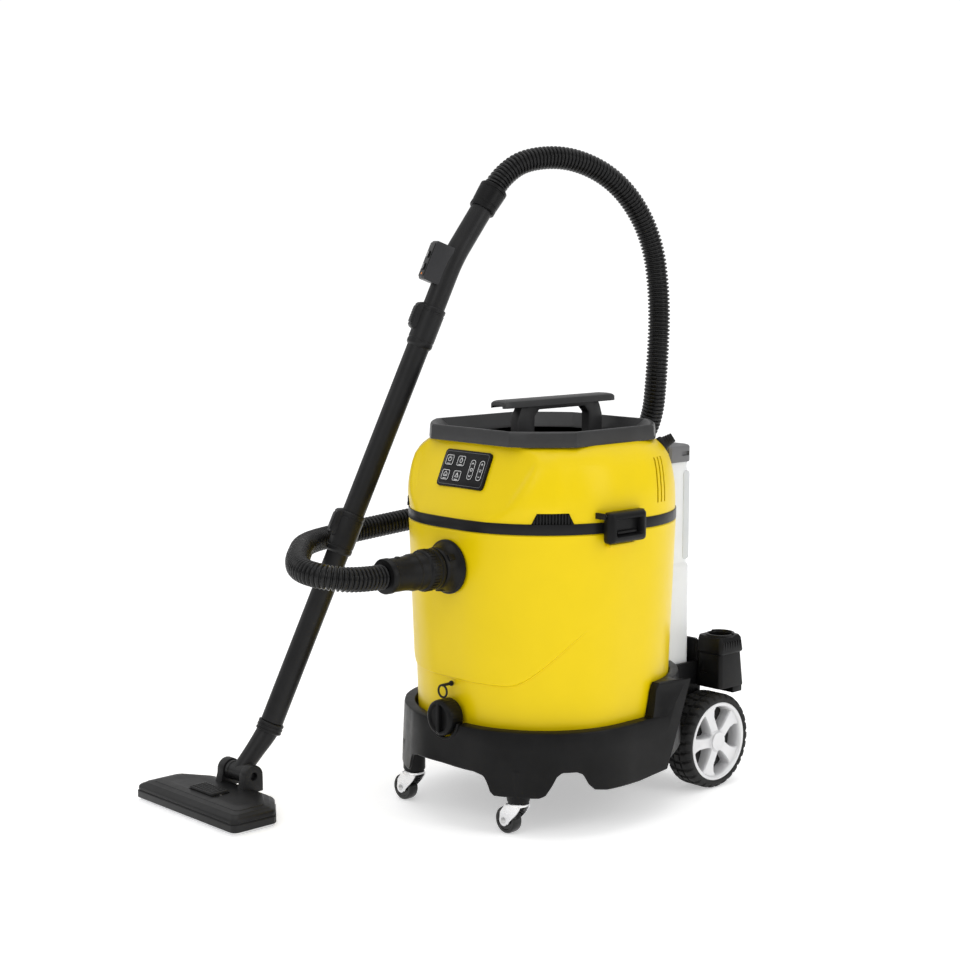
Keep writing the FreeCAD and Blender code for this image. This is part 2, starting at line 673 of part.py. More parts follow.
def head():
    flat = s.flat_half
    inner = s.band_half - s.band_width
    ring = cut(slab(s.band_half, s.band_half, s.band_half - flat, band_foot_z, head_foot_z),
               slab(inner, inner, inner - flat, band_foot_z - 1, head_foot_z + 1))
    plate = cut(slab(inner + 1, inner + 1, inner + 1 - flat, plate_top_z - s.plate_thick, plate_top_z),
                rod(s.eye_radius, 40, z=band_foot_z - 10))
    node("head_base", fuse(ring, plate))

    tub = s.tray_tub_half + s.gap
    holes = [head_shell(s.wall, head_foot_z - 1, s.head_top_z - s.wall),
             slab(tub, tub, tub - s.tray_flat_half, s.head_top_z - 20, s.head_top_z + 5),
             turned_block(s.panel_width - 7, 20, s.panel_height - 7, *on_panel(0, 0, 0), slope)]
    holes.append(rod(s.gland_radius + s.gap, 50, *gland_foot(-20), gland_turn))
    for side in SIDES.values():
        for index in range(3):
            holes.append(span((side * 180 - 25, s.slot_y + s.slot_pitch * index, s.slot_foot_z),
                              (side * 180 + 25, s.slot_y + s.slot_pitch * index + s.slot_width,
                               s.slot_top_z)))
        holes.append(corner_block(s.grille_width + 0.6, s.grille_height + 1.6, 30, side, head_foot_z - 1.3))
    cover = cut(head_shell(0, head_foot_z, s.head_top_z), *holes)
    ears = []
    for side in SIDES.values():
        for way in (-1, 1):
            middle = way * (s.latch_width / 2 + s.gap * 2 + s.latch_ear / 2) - s.latch_y
            ear = block(28, s.latch_ear, 12, side * (s.latch_pivot_x - 8), middle, s.latch_pivot_z - 6)
            hole = rod(s.latch_pin_radius + s.fit, s.latch_ear + 2, side * s.latch_pivot_x,
                       middle + s.latch_ear / 2 + 1, s.latch_pivot_z, FORWARD)
            ears.append(cut(ear, hole))
    node("head_cover", fuse(cover, *ears))


def corner_grilles():
    """Ribbed air inlets, one across each front corner above the band."""
    solids = []
    for side in SIDES.values():
        frame = corner_block(s.grille_width, s.grille_height, 8, side, head_foot_z)
        grooves = []
        turn = frame.Placement.Rotation
        across = turn.multVec(V(1, 0, 0))
        outward = turn.multVec(V(0, -1, 0))
        pitch = (s.grille_width - 8) / 7
        for index in range(7):
            shift = pitch * (index - 3)
            x = side * s.grille_x + shift * across.x + 4 * outward.x
            y = shift * across.y + 4 * outward.y - s.grille_y
            grooves.append(turned_block(pitch / 2, 8, s.grille_height - 5, x, y,
                                        head_foot_z + s.grille_height / 2, turn))
        solids.append(cut(frame, *grooves))
    node("corner_grilles", group(*solids))


def top_tray():
    flat = s.tray_flat_half
    rim_foot = s.head_top_z
    outer = stack(flat, (rim_foot, s.tray_half + 2), (s.tray_rim_z, s.tray_half))
    tub = slab(s.tray_tub_half, s.tray_tub_half, s.tray_tub_half - flat, s.tray_tub_z, rim_foot + 1)
    floor_z = s.tray_tub_z + s.tray_floor
    recess = stack(flat, (floor_z, s.tray_tub_half - s.tray_floor),
                   (rim_foot + s.tray_floor, s.tray_tub_half - s.tray_floor),
                   (s.tray_rim_z + 1, s.tray_half - s.tray_rim_width))
    node("top_tray", cut(fuse(outer, tub), recess))

    bar_foot = s.handle_top_z - s.handle_bar_thick
    web = s.handle_web_width / 2
    bar = span((-s.handle_bar_width / 2, -s.handle_front_y, bar_foot),
               (s.handle_bar_width / 2, s.handle_back_y, s.handle_top_z))
    legs = span((-web, -s.handle_web_front_y, floor_z), (web, s.handle_web_back_y, bar_foot + 1))
    finger_gap = span((-web - 1, -s.handle_gap_front_y, s.handle_gap_z),
                      (web + 1, s.handle_gap_back_y, bar_foot - 4))
    node("carry_handle", fuse(bar, cut(legs, finger_gap)))


def latch(name, side):
    """A pull-out latch with its pivot pins, hooked under the tank's keeper."""
    inner, outer = s.latch_inner_x, s.latch_inner_x + s.latch_thick
    middle_x = side * (inner + s.latch_thick / 2)
    plate = block(s.latch_thick, s.latch_width, s.latch_top_z - s.latch_foot_z,
                  middle_x, -s.latch_y, s.latch_foot_z)
    recess = block(14, s.latch_width - 22, 24, side * outer, -s.latch_y, s.latch_foot_z + 7)
    pin_length = s.latch_width + s.latch_ear * 2
    pin = rod(s.latch_pin_radius, pin_length, side * s.latch_pivot_x, pin_length / 2 - s.latch_y,
              s.latch_pivot_z, FORWARD)
    node(f"latch_{name}", fuse(cut(plate, recess), pin))


def control_panel():
    """The sloping key panel with its posts, six keys and the board behind them."""
    holes = []
    keys = {}
    for column, x in (("left", -s.key_left_x), ("mid", -s.key_mid_x)):
        for row, way in (("top", 1), ("bottom", -1)):
            keys[f"key_{row}_{column}"] = (x, way * s.key_row, s.key_side, s.key_side)
    for column, x in (("mid", s.pill_mid_x), ("right", s.pill_right_x)):
        keys[f"rocker_{column}"] = (x, size(0), s.pill_width, s.pill_height)
    for label, (x, up, width, height) in keys.items():
        holes.append(turned_block(width + s.gap * 2, 20, height + s.gap * 2, *on_panel(x, up, 0), slope))
        node(label, turned_block(width, 4, height, *on_panel(x, up, -1), slope))
    plate = turned_block(s.panel_width, s.panel_thick, s.panel_height,
                         *on_panel(0, 0, -s.panel_thick / 2), slope)
    post_depth = 10.4
    posts = []
    for across in (-1, 1):
        for up in (-1, 1):
            posts.append(turned_block(3, post_depth, 3, *on_panel(
                across * (s.panel_width / 2 - 5), up * (s.panel_height / 2 - 5.5), post_depth / 2), slope))
    node("control_panel", fuse(cut(plate, *holes), *posts))
    node("circuit_board", turned_block(s.panel_width - 8, 1.6, s.panel_height - 9,
                                       *on_panel(0, 0, post_depth + 0.8), slope))


def motor_unit():
    """Sound housing, motor, impeller on its shaft, and the float cage under the motor plate."""
    radius, top = s.motor_housing_radius, s.motor_housing_z
    node("motor_housing", turned((radius - 4, plate_top_z), (radius, plate_top_z), (radius, top),
                                 (0, top), (0, top - 4), (radius - 4, top - 4)))
    hole = s.shaft_radius + s.fit
    foot = s.motor_foot_z
    node("vacuum_motor", turned((hole, foot), (radius - 4.2, foot), (radius - 4.2, foot + 4),
                                (s.motor_radius, foot + 4), (s.motor_radius, s.motor_top_z - 6),
                                (s.motor_radius - 6, s.motor_top_z), (hole, s.motor_top_z)))
    disc = s.impeller_foot_z + s.impeller_height
    shaft = s.shaft_radius
    node("impeller", turned((0, s.impeller_foot_z), (s.impeller_radius, s.impeller_foot_z),
                            (s.impeller_radius, s.impeller_foot_z + 3),
                            (s.impeller_radius - 22, disc), (shaft, disc),
                            (shaft, s.motor_top_z + 3), (0, s.motor_top_z + 3)))
    inner = s.cage_radius - 3
    cage_top = plate_top_z - s.plate_thick
    cage = turned((0, s.cage_foot_z), (s.cage_radius, s.cage_foot_z), (s.cage_radius, cage_top),
                  (inner, cage_top), (inner, s.cage_foot_z + 3), (0, s.cage_foot_z + 3))
    windows = []
    for index in range(4):
        turn = FreeCAD.Rotation(V(0, 0, 1), 45 * index)
        windows.append(turned_block(s.cage_radius * 2 + 10, 18, 60, 0, 0, s.cage_foot_z + 42, turn))
    node("float_cage", cut(cage, *windows))
    foot = s.cage_foot_z + 3 + s.gap
    rise = s.float_height
    node("shutoff_float", turned((0, foot), (s.float_radius - 6, foot), (s.float_radius, foot + 6),
                                 (s.float_radius, foot + rise - 6), (s.float_radius - 6, foot + rise),
                                 (0, foot + rise)))
    node("cord_gland", turned((5, 0), (s.gland_radius, 0), (s.gland_radius, 8), (9, 10), (7.5, 24),
                              (5, 24)), *gland_foot(0), gland_turn)


# ---- Clean-water tank and tool holder ----------------------------------------------------------


def behind_drum(inset, low, high):
    """The clean-water tank's form: a flat box hollowed in front to follow the drum."""
    depth = (s.clean_back_y - s.clean_front_y) / 2
    box = slab(s.clean_half_x - inset, depth - inset, s.clean_corner - inset, low, high,
               (s.clean_back_y + s.clean_front_y) / 2)
    half = s.tank_top_half + s.drum_clearance + inset
    return cut(box, slab(half, half, half - s.flat_half, size(low) - 1, size(high) + 1))


def clean_water_tank():
    wall = s.clean_wall
    shell = cut(behind_drum(0, clean_foot_z, s.clean_top_z),
                behind_drum(wall, clean_foot_z + wall, s.clean_top_z - wall))
    neck = rod(s.neck_radius, 10 + wall, s.neck_x, s.neck_y, s.clean_top_z - wall)
    neck_hole = rod(s.neck_radius - 2, 30, s.neck_x, s.neck_y, s.clean_top_z - 10)
    node("clean_water_tank", cut(fuse(shell, neck), neck_hole))
    foot = s.clean_top_z + s.gap
    lid = cut(behind_drum(0, foot, s.clean_lid_z), behind_drum(3, foot - 1, s.clean_lid_z - 3))
    node("clean_tank_lid", lid)
    dip = s.clean_top_z - clean_foot_z - 12
    pickup = fuse(rod(4, dip, s.neck_x - 30, s.neck_y, clean_foot_z + 8),
                  rod(9, 14, s.neck_x - 30, s.neck_y, clean_foot_z + wall))
    node("pickup_tube", pickup)
    pump_y = s.chassis_back_y - s.chassis_cheek - s.gap - 17
    node("water_pump", fuse(block(60, 34, 30, 0, pump_y, s.base_lip_z - 8 - 30),
                            rod(12, 34, -64, pump_y, s.base_lip_z - 24, SIDEWAYS)))


def tool_holder():
    body = span((s.chassis_half, s.holder_front_y, s.holder_foot_z),
                (s.holder_outer_x, s.holder_back_y, s.holder_top_z))
    leg = span((s.chassis_half, s.holder_leg_y, s.holder_leg_z),
               (s.holder_outer_x, s.holder_back_y, s.holder_foot_z + 1))
    middle = (s.chassis_half + s.holder_outer_x) / 2
    socket = rod(s.socket_radius, s.socket_depth + 5, middle, s.socket_y, s.holder_top_z - s.socket_depth)
    node("tool_holder", cut(fuse(body, leg), socket))


# ---- Wand and floor nozzle -----------------------------------------------------------------------

WAND_FOOT = V(-275, -311, 122)
WAND_BEND = V(-150, -49, 824)
WAND_END = V(-138.6, 31, 937)


def frame_of(direction):
    """The turn that lays Z along a direction with X on its upper side."""
    along = V(direction).normalize()
    above = (V(0, 0, 1) - along * along.z).normalize()
    return FreeCAD.Rotation(above, along.cross(above), along, "ZXY")


wand_turn = frame_of(WAND_BEND - WAND_FOOT)
wand_place = (WAND_FOOT.x, WAND_FOOT.y, WAND_FOOT.z, wand_turn)
first_sleeve = s.lower_length - 8
upper_foot = s.lower_length + 5
second_sleeve = upper_foot + s.upper_length - 8
grip_foot = upper_foot + s.upper_length + 5


def tube(name, start, length, sleeve):
    """A wand tube with a wider sleeve at its upper end and a seat for its release button."""
    middle = sleeve + s.sleeve_length - s.button_inset
    solid = fuse(rod(s.wand_radius, length, z=start), rod(s.sleeve_radius, s.sleeve_length, z=sleeve),
                 block(14, s.button_width + 6, s.button_height + 12, s.sleeve_radius,
                       0, middle - s.button_height / 2 - 6))
    seat = block(9, s.button_width + s.gap * 2, s.button_height + s.gap * 2,
                 s.sleeve_radius + 4.5 - 1.5, 0, middle - s.button_height / 2 - s.gap)
    bore = rod(s.wand_bore, length + s.sleeve_length, z=size(start) - 1)
    socket = rod(s.wand_radius + s.gap, s.sleeve_length + 5, z=start + length)
    node(f"{name}_wand", cut(solid, bore, socket, seat), *wand_place)
    button = block(8, s.button_width, s.button_height, s.sleeve_radius + 6.6, 0,
                   middle - s.button_height / 2)
    node(f"release_button_{name}", button, *wand_place)


def grip():
    """The bent grip with the remote-control box on its upper side, and the hose cuff at its end."""
    bend = (WAND_BEND - WAND_FOOT).Length
    upper = wand_turn.inverted().multVec(WAND_END - WAND_BEND)
    turn = FreeCAD.Rotation(V(0, 0, 1), upper)

    def bent(radius, foot, end):
        return fuse(rod(radius, bend - foot, z=foot), ball(radius, z=bend),
                    rod(radius, upper.Length + size(end), z=bend, turn=turn))

    node("wand_grip", cut(bent(s.wand_radius, grip_foot, 0), bent(s.wand_bore, grip_foot - 1, 2)),
         *wand_place)
    box_foot = bend - 48
    face = s.wand_radius + s.remote_depth
    box = span((s.wand_radius - 8, -s.remote_width / 2, box_foot),
               (face, s.remote_width / 2, box_foot + s.remote_height))
    holes = [bent(s.wand_radius + 0.1, grip_foot, 0)]
    for index, label in enumerate(("remote_key_low", "remote_key_high")):
        middle = box_foot + 19 + 20 * index
        holes.append(block(8, 11.6, 11.6, face, 0, middle - 5.8))
        node(label, block(3.6, 11, 11, face - 0.6, 0, middle - 5.5), *wand_place)
    node("remote_box", cut(box, *holes), *wand_place)
    end_turn = frame_of(WAND_END - WAND_BEND)
    end = V(WAND_END)
    cuff = turned((s.wand_radius + 0.1, -42), (s.sleeve_radius + 0.5, -42), (s.sleeve_radius + 2, -6),
                  (s.sleeve_radius + 2, 0), (s.wand_radius + 0.1, 0))
    node("hose_cuff", cuff, end.x, end.y, end.z, end_turn)


def floor_nozzle():
    """Body, sole plate, brush strips, pedal, and the elbow that joins it to the wand."""
    middle = (-s.nozzle_x, -s.nozzle_y)
    foot = s.sole_z + s.sole_thick
    half_x, half_y, corner = s.nozzle_half_x, s.nozzle_half_y, s.nozzle_corner
    wall = s.nozzle_wall
    shell = fuse(slab(half_x, half_y, corner, foot, s.nozzle_height - 10),
                 slab(half_x - 6, half_y - 5, corner, foot + 8, s.nozzle_height))
    hollow = slab(half_x - 6 - wall, half_y - 5 - wall, corner - wall, foot - 1, s.nozzle_height - wall)
    pivot_y = s.nozzle_y - s.pivot_y
    ears = []
    ear_mid = s.barrel_half + 6
    for side in SIDES.values():
        ear = fuse(block(11, 34, s.pivot_z - s.nozzle_height + 4, side * ear_mid, pivot_y, s.nozzle_height - 4),
                   rod(17, 11, side * ear_mid - 5.5, pivot_y, s.pivot_z, SIDEWAYS))
        ears.append(ear)
    trunnion_hole = rod(s.trunnion_radius + s.fit, ear_mid * 2 + 20, -ear_mid - 10, pivot_y,
                        s.pivot_z, SIDEWAYS)
    barrel_room = rod(s.barrel_radius + 3, s.barrel_half * 2 + 1, -s.barrel_half - 0.5, pivot_y,
                      s.pivot_z, SIDEWAYS)
    pedal_room = block(62, 34, 20, 0, -10, s.nozzle_height - 8)
    clips = []
    for side in SIDES.values():
        turn = FreeCAD.Rotation(V(0, 0, 1), side * s.nozzle_clip.number)
        clips.append(turned_block(90, 60, 120, side * (half_x + 8), half_y + 16, 20, turn))
    pedal_hole = rod(3 + s.fit, 66, -33, -10, s.nozzle_height - 3.5, SIDEWAYS)
    body = cut(fuse(shell, *ears), hollow, trunnion_hole, barrel_room, pedal_room, pedal_hole, *clips)
    node("nozzle_body", body, *middle)

    plate = slab(half_x - 2, half_y - 2, corner, s.sole_z, foot)
    mouth = block(s.mouth_length, s.mouth_width, 20, 0, 0, -5)
    slots = [block(s.mouth_length + 4, 6, 20, 0, way * 24, -5) for way in (-1, 1)]
    node("sole_plate", cut(plate, mouth, *slots, *[turned_block(
        90, 60, 120, side * (half_x + 6), half_y + 15, 20, FreeCAD.Rotation(V(0, 0, 1), side * s.nozzle_clip.number))
        for side in SIDES.values()]), *middle)
    strips = [block(s.mouth_length, 4.5, s.bristle_length, 0, way * 24, 0) for way in (-1, 1)]
    bridge = [block(4, 52.5, 3, x, 0, s.bristle_length - 1) for x in (-60, 60)]
    node("brush_strips", fuse(*strips, *bridge), *middle)

    pedal = fuse(block(60, 32, 5, 0, -10, s.nozzle_height - 1),
                 rod(3, 65, -32.5, -10, s.nozzle_height - 3.5, SIDEWAYS))
    node("brush_pedal", pedal, *middle)

    elbow = WAND_FOOT - (WAND_BEND - WAND_FOOT).normalize() * 14
    pivot = V(-s.nozzle_x.number, -s.pivot_y.number, s.pivot_z.number)
    start = wand_turn.inverted().multVec(elbow - pivot)
    lower = FreeCAD.Rotation(V(0, 0, 1), start)
    back = wand_turn.inverted().multVec(elbow - WAND_FOOT)
    base = back - start
    length = start.Length
    across = wand_turn.inverted().multVec(V(1, 0, 0))
    lay = FreeCAD.Rotation(V(0, 0, 1), across)
    trunnion = s.barrel_half + 10
    solid = fuse(rod(s.wand_bore - 0.3, 40, z=back.z), rod(s.sleeve_radius, 13.7, z=back.z),
                 ball(s.sleeve_radius - 2, z=back.z),
                 rod(s.barrel_radius - 1, length, base.x, base.y, base.z, lower),
                 rod(s.barrel_radius, s.barrel_half * 2, base.x - s.barrel_half * across.x,
                     base.y - s.barrel_half * across.y, base.z - s.barrel_half * across.z, lay),
                 rod(s.trunnion_radius, trunnion * 2, base.x - trunnion * across.x,
                     base.y - trunnion * across.y, base.z - trunnion * across.z, lay))
    airway = fuse(rod(10, 50, z=back.z), ball(10, z=back.z),
                  rod(10, length - 4, base.x + start.x * 4 / length, base.y + start.y * 4 / length,
                      base.z + start.z * 4 / length, lower))
    node("nozzle_elbow", cut(solid, airway), *wand_place)


# ---- Hose ------------------------------------------------------------------------------------------

HOSE_ROUTE = [
    (0, -318.6, 385), (0, -366, 385), (-24, -406, 392), (-72, -410, 396), (-128, -372, 398),
    (-190, -318, 397), (-250, -266, 394), (-291, -208, 392), (-300, -138, 395), (-284, -62, 404),
    (-268, 20, 413), (-262, 100, 420), (-250, 185, 430), (-198, 262, 446), (-120, 308, 482),
    (-55, 312, 550), (-34, 300, 650), (-32, 303, 760), (-39, 289, 866), (-60, 237, 948),
    (-92, 163, 988), (-122, 86, 985), (-136.6, 44.6, 956.3), (-138.5, 31.5, 937.7),
]


def hose():
    """The suction hose, plain and solid: straight runs joined by arcs as large as the runs allow."""
    points = [V(*point) for point in HOSE_ROUTE]
    edges = []
    start = points[0]
    for before, here, after in zip(points, points[1:], points[2:]):
        come, leave = here - before, after - here
        turn = come.getAngle(leave)
        setback = 0.45 * min(come.Length, leave.Length)
        radius = setback / math.tan(turn / 2)
        print(f"hose bend at {tuple(round(c) for c in here)}: radius {radius:.0f} mm, "
              f"turn {math.degrees(turn):.0f} degrees, runs {come.Length:.0f} and {leave.Length:.0f} mm")
        first = here - come.normalize() * setback
        last = here + leave.normalize() * setback
        inward = (first + last) * 0.5 - here
        depth = radius / math.cos(turn / 2) - radius
        middle = here + inward.normalize() * depth
        edges.append(Part.LineSegment(start, first).toShape())
        edges.append(Part.Arc(first, middle, last).toShape())
        start = last
    edges.append(Part.LineSegment(start, points[-1]).toShape())
    path = Part.Wire(edges)
    radius = s.hose_radius.number
    ring = Part.Wire([Part.makeCircle(radius, points[0], points[1] - points[0])])
    solid = path.makePipeShell([ring], True, True)
    expected = math.pi * radius ** 2 * path.Length
    print(f"hose length {path.Length:.0f} mm, volume {solid.Volume / expected:.4f} of section by length")
    item = doc.addObject("Part::Feature", "Hose")
    item.Shape = solid
    item.Label = "hose"
    move(item, s.drum_axis_x, s.drum_axis_y, 0)
    nodes["hose"] = item


# ---- The whole machine -----------------------------------------------------------------------------

base_trolley()
for side_name, side_sign in SIDES.items():
    rear_wheel(side_name, side_sign)
    caster(side_name, side_sign)
    latch(side_name, side_sign)
recovery_tank()
inlet()
drain()
head()
corner_grilles()
top_tray()
control_panel()
motor_unit()
clean_water_tank()
tool_holder()
tube("lower", size(0), s.lower_length, first_sleeve)
tube("upper", upper_foot, s.upper_length, second_sleeve)
grip()
floor_nozzle()
hose()
doc.recompute()

faults = [item.Label for item in doc.Objects if {"Invalid", "Error"} & set(item.State)]
for label, item in nodes.items():
    if item.Shape.isNull() or not item.Shape.isValid() or not item.Shape.Solids:
        faults.append(label)
if faults:
    raise SystemExit(f"these did not build: {faults}")
os.makedirs("parts", exist_ok=True)
for label, item in nodes.items():
    item.Shape.exportStep(f"parts/{label}.step")
print(f"{len(nodes)} sub-parts written")
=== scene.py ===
"""Looks of the wheeled carpet cleaner, built round its CAD frame.

Shapes are drawn in millimetres from the drum's axis on the floor: -Y is the front, +X the side of
the tool holder. TO_ROW carries them into the frame's metres.
"""

import json
import math

import bmesh
import bpy
from mathutils import Matrix, Vector


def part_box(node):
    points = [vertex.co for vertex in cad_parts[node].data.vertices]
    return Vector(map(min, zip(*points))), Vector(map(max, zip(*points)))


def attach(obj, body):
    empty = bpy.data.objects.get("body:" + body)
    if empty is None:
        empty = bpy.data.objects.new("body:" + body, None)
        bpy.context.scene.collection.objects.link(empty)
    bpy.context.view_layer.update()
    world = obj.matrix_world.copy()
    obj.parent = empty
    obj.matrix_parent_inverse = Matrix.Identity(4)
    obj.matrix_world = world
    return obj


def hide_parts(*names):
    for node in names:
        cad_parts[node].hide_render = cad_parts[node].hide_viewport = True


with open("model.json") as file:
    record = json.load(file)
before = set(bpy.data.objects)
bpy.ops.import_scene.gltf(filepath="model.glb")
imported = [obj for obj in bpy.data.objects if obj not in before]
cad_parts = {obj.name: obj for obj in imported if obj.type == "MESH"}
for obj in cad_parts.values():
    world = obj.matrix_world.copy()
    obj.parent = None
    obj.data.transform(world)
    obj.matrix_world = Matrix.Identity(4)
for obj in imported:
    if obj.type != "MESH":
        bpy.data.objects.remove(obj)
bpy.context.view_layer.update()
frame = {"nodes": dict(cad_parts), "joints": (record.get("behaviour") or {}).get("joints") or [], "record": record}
JOINTS = {joint["name"]: joint for joint in frame["joints"]}

MM = 0.001
band_low, band_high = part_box("head_base")
AXIS = Vector(((band_low.x + band_high.x) / 2, (band_low.y + band_high.y) / 2, 0))
TO_ROW = Matrix.Translation(AXIS) @ Matrix.Scale(MM, 4)


ALONG_X = Matrix(((0, 0, 1, 0), (1, 0, 0, 0), (0, 1, 0, 0), (0, 0, 0, 1)))


def drawn(point):
    """A point of the row frame in this script's millimetres."""
    return TO_ROW.inverted() @ Vector(point)


def low(node):
    """Lowest corner of a CAD node, in millimetres from the drum's axis."""
    return drawn(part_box(node)[0])


def high(node):
    """Highest corner of a CAD node, in millimetres from the drum's axis."""
    return drawn(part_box(node)[1])


def middle(node):
    return (low(node) + high(node)) / 2


def axes(origin, along=(0, 0, 1), across=None):
    """A place whose Z runs along a direction, and whose X lies near a second one."""
    z = Vector(along).normalized()
    x = Vector(across) if across is not None else z.orthogonal()
    x = (x - z * x.dot(z)).normalized()
    y = z.cross(x)
    place = Matrix((x, y, z)).transposed().to_4x4()
    place.translation = Vector(origin)
    return place


# ---- Shapes: each is (points, faces) -------------------------------------------------------------


def merge(*shapes):
    points, faces = [], []
    for more, quads in shapes:
        base = len(points)
        points += more
        faces += [[index + base for index in face] for face in quads]
    return points, faces


def shift(x, y, z=0):
    return Matrix.Translation((x, y, z))


def turned(angle):
    return Matrix.Rotation(math.radians(angle), 4, "Z")


def moved(shape, place):
    return [place @ Vector(point) for point in shape[0]], shape[1]


def loft(rings, ends=True, closed=False):
    """Skin over rings that have the same number of points; ends caps the first and last."""
    count = len(rings[0])
    points = [Vector(point) for ring in rings for point in ring]
    faces = []
    steps = len(rings) if closed else len(rings) - 1
    for step in range(steps):
        here, there = step * count, (step + 1) % len(rings) * count
        for index in range(count):
            after = (index + 1) % count
            faces.append([here + index, here + after, there + after, there + index])
    if ends and not closed:
        faces.append(list(range(count))[::-1])
        faces.append([(len(rings) - 1) * count + index for index in range(count)])
    return points, faces


def circle(radius, z, count=64):
    return [(radius * math.cos(2 * math.pi * i / count), radius * math.sin(2 * math.pi * i / count),
             z) for i in range(count)]


def lathe(profile, count=64, closed=False):
    """Turn (radius, height) pairs about Z; a closed profile is a ring with a bore."""
    return loft([circle(radius, z, count) for radius, z in profile], True, closed)


def block(x0, x1, y0, y1, z0, z1):
    corners = [(x0, y0), (x1, y0), (x1, y1), (x0, y1)]
    return loft([[(x, y, z) for x, y in corners] for z in (z0, z1)])


def prism(outline, z0, z1):
    return loft([[(x, y, z) for x, y in outline] for z in (z0, z1)])


def arc(cx, cy, radius, start, stop, count):
    """Points of an arc, with angles in degrees."""
    angles = [math.radians(start + (stop - start) * i / count) for i in range(count + 1)]
    return [(cx + radius * math.cos(a), cy + radius * math.sin(a)) for a in angles]


def rounded(width, height, corner, count=6):
    """A rectangle with round corners, centred on the origin."""
    x, y = width / 2 - corner, height / 2 - corner
    return (arc(x, y, corner, 0, 90, count) + arc(-x, y, corner, 90, 180, count)
            + arc(-x, -y, corner, 180, 270, count) + arc(x, -y, corner, 270, 360, count))


def pad(width, height, corner, z0, z1, edge):
    """A rounded rectangle plate whose top edge is rounded off."""
    steps = [(0, z0), (0, z1 - edge)]
    steps += [(edge * (1 - math.cos(a)), z1 - edge + edge * math.sin(a))
              for a in (math.radians(30), math.radians(60), math.radians(90))]
    rings = []
    for inset, z in steps:
        ring = rounded(width - 2 * inset, height - 2 * inset, max(corner - inset, 0.1))
        rings.append([(x, y, z) for x, y in ring])
    return loft(rings)


FLAT = 22


def around(half, z, flat=FLAT, quarter=28, run=6):
    """One ring of the drum: a square of that half width with very round corners."""
    radius = half - flat
    ring = []
    for turn, (cx, cy) in enumerate(((flat, flat), (-flat, flat), (-flat, -flat), (flat, -flat))):
        corner = arc(cx, cy, radius, 90 * turn, 90 * turn + 90, quarter)
        ring += corner
        x, y = corner[-1]
        step = (-2 * flat / run, 0) if turn == 0 else (0, -2 * flat / run) if turn == 1 else \
            (2 * flat / run, 0) if turn == 2 else (0, 2 * flat / run)
        ring += [(x + step[0] * i, y + step[1] * i) for i in range(1, run)]
    return [Vector((x, y, z)) for x, y in ring]


def bearing(point):
    """Angle of a point round the drum from the front, the same on both sides, in degrees."""
    return math.degrees(math.atan2(abs(point.x), -point.y))


def eased(value, start, stop):
    share = min(max((value - start) / (stop - start), 0), 1)
    return share * share * (3 - 2 * share)


def between(value, *pairs):
    """Smooth interpolation through (value, result) pairs."""
    if value <= pairs[0][0]:
        return pairs[0][1]
    for (a, first), (b, second) in zip(pairs, pairs[1:]):
        if value <= b:
            share = (value - a) / (b - a)
            return first + (second - first) * share
    return pairs[-1][1]


# ---- Pieces --------------------------------------------------------------------------------------


def soften(bm, width, limit=25, segments=2):
    edges = [edge for edge in bm.edges
             if edge.is_manifold and edge.calc_face_angle(0) > math.radians(limit)]
    bmesh.ops.bevel(bm, geom=edges, offset=width, segments=segments, profile=0.6,
                    affect="EDGES", clamp_overlap=True)


def shade(mesh, limit):
    mesh.polygons.foreach_set("use_smooth", [True] * len(mesh.polygons))
    mesh.set_sharp_from_angle(angle=math.radians(limit))


def settle(item, body, nodes, material, limit):
    item.data.materials.clear()
    item.data.materials.append(material)
    shade(item.data, limit)
    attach(item, body)
    if nodes:
        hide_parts(*nodes)
    return item


def make(name, shape):
    mesh = bpy.data.meshes.new(name)
    bm = bmesh.new()
    made = [bm.verts.new(point) for point in shape[0]]
    for face in shape[1]:
        bm.faces.new([made[index] for index in face])
    bmesh.ops.remove_doubles(bm, verts=bm.verts, dist=1e-5)
    bmesh.ops.recalc_face_normals(bm, faces=bm.faces)
    return bm, mesh


def piece(name, shape, material, body, nodes=(), place=None, bevel=0, cuts=(), limit=32,
          bevel_limit=25, segments=2):
    """A mesh piece in the row frame, with its cutters taken out of it and its edges rounded.
    """
    bm, mesh = make(name, shape)
    bm.transform(place or Matrix())
    bm.transform(TO_ROW)
    bm.to_mesh(mesh)
    bm.free()
    item = bpy.data.objects.new(name, mesh)
    bpy.context.scene.collection.objects.link(item)
    for cutter in cuts:
        carve(item, cutter)
    if bevel:
        bm = bmesh.new()
        bm.from_mesh(item.data)
        bmesh.ops.dissolve_limit(bm, angle_limit=math.radians(0.6), verts=bm.verts, edges=bm.edges)
        soften(bm, bevel * MM, bevel_limit, segments)
        bm.to_mesh(item.data)
        bm.free()
    return settle(item, body, nodes, material, limit)


def carve(item, shape, how="DIFFERENCE"):
    bm, mesh = make("cutter", shape)
    bm.transform(TO_ROW)
    bm.to_mesh(mesh)
    bm.free()
    tool = bpy.data.objects.new("cutter", mesh)
    bpy.context.scene.collection.objects.link(tool)
    modifier = item.modifiers.new("cut", "BOOLEAN")
    modifier.operation = how
    modifier.object = tool
    modifier.solver = "EXACT"
    bpy.context.view_layer.update()
    done = bpy.data.meshes.new_from_object(item.evaluated_get(bpy.context.evaluated_depsgraph_get()))
    item.modifiers.clear()
    item.data = done
    bpy.data.objects.remove(tool)


def body_of(node):
    for body, members in frame["record"]["behaviour"]["bodies"].items():
        if node in members:
            return body


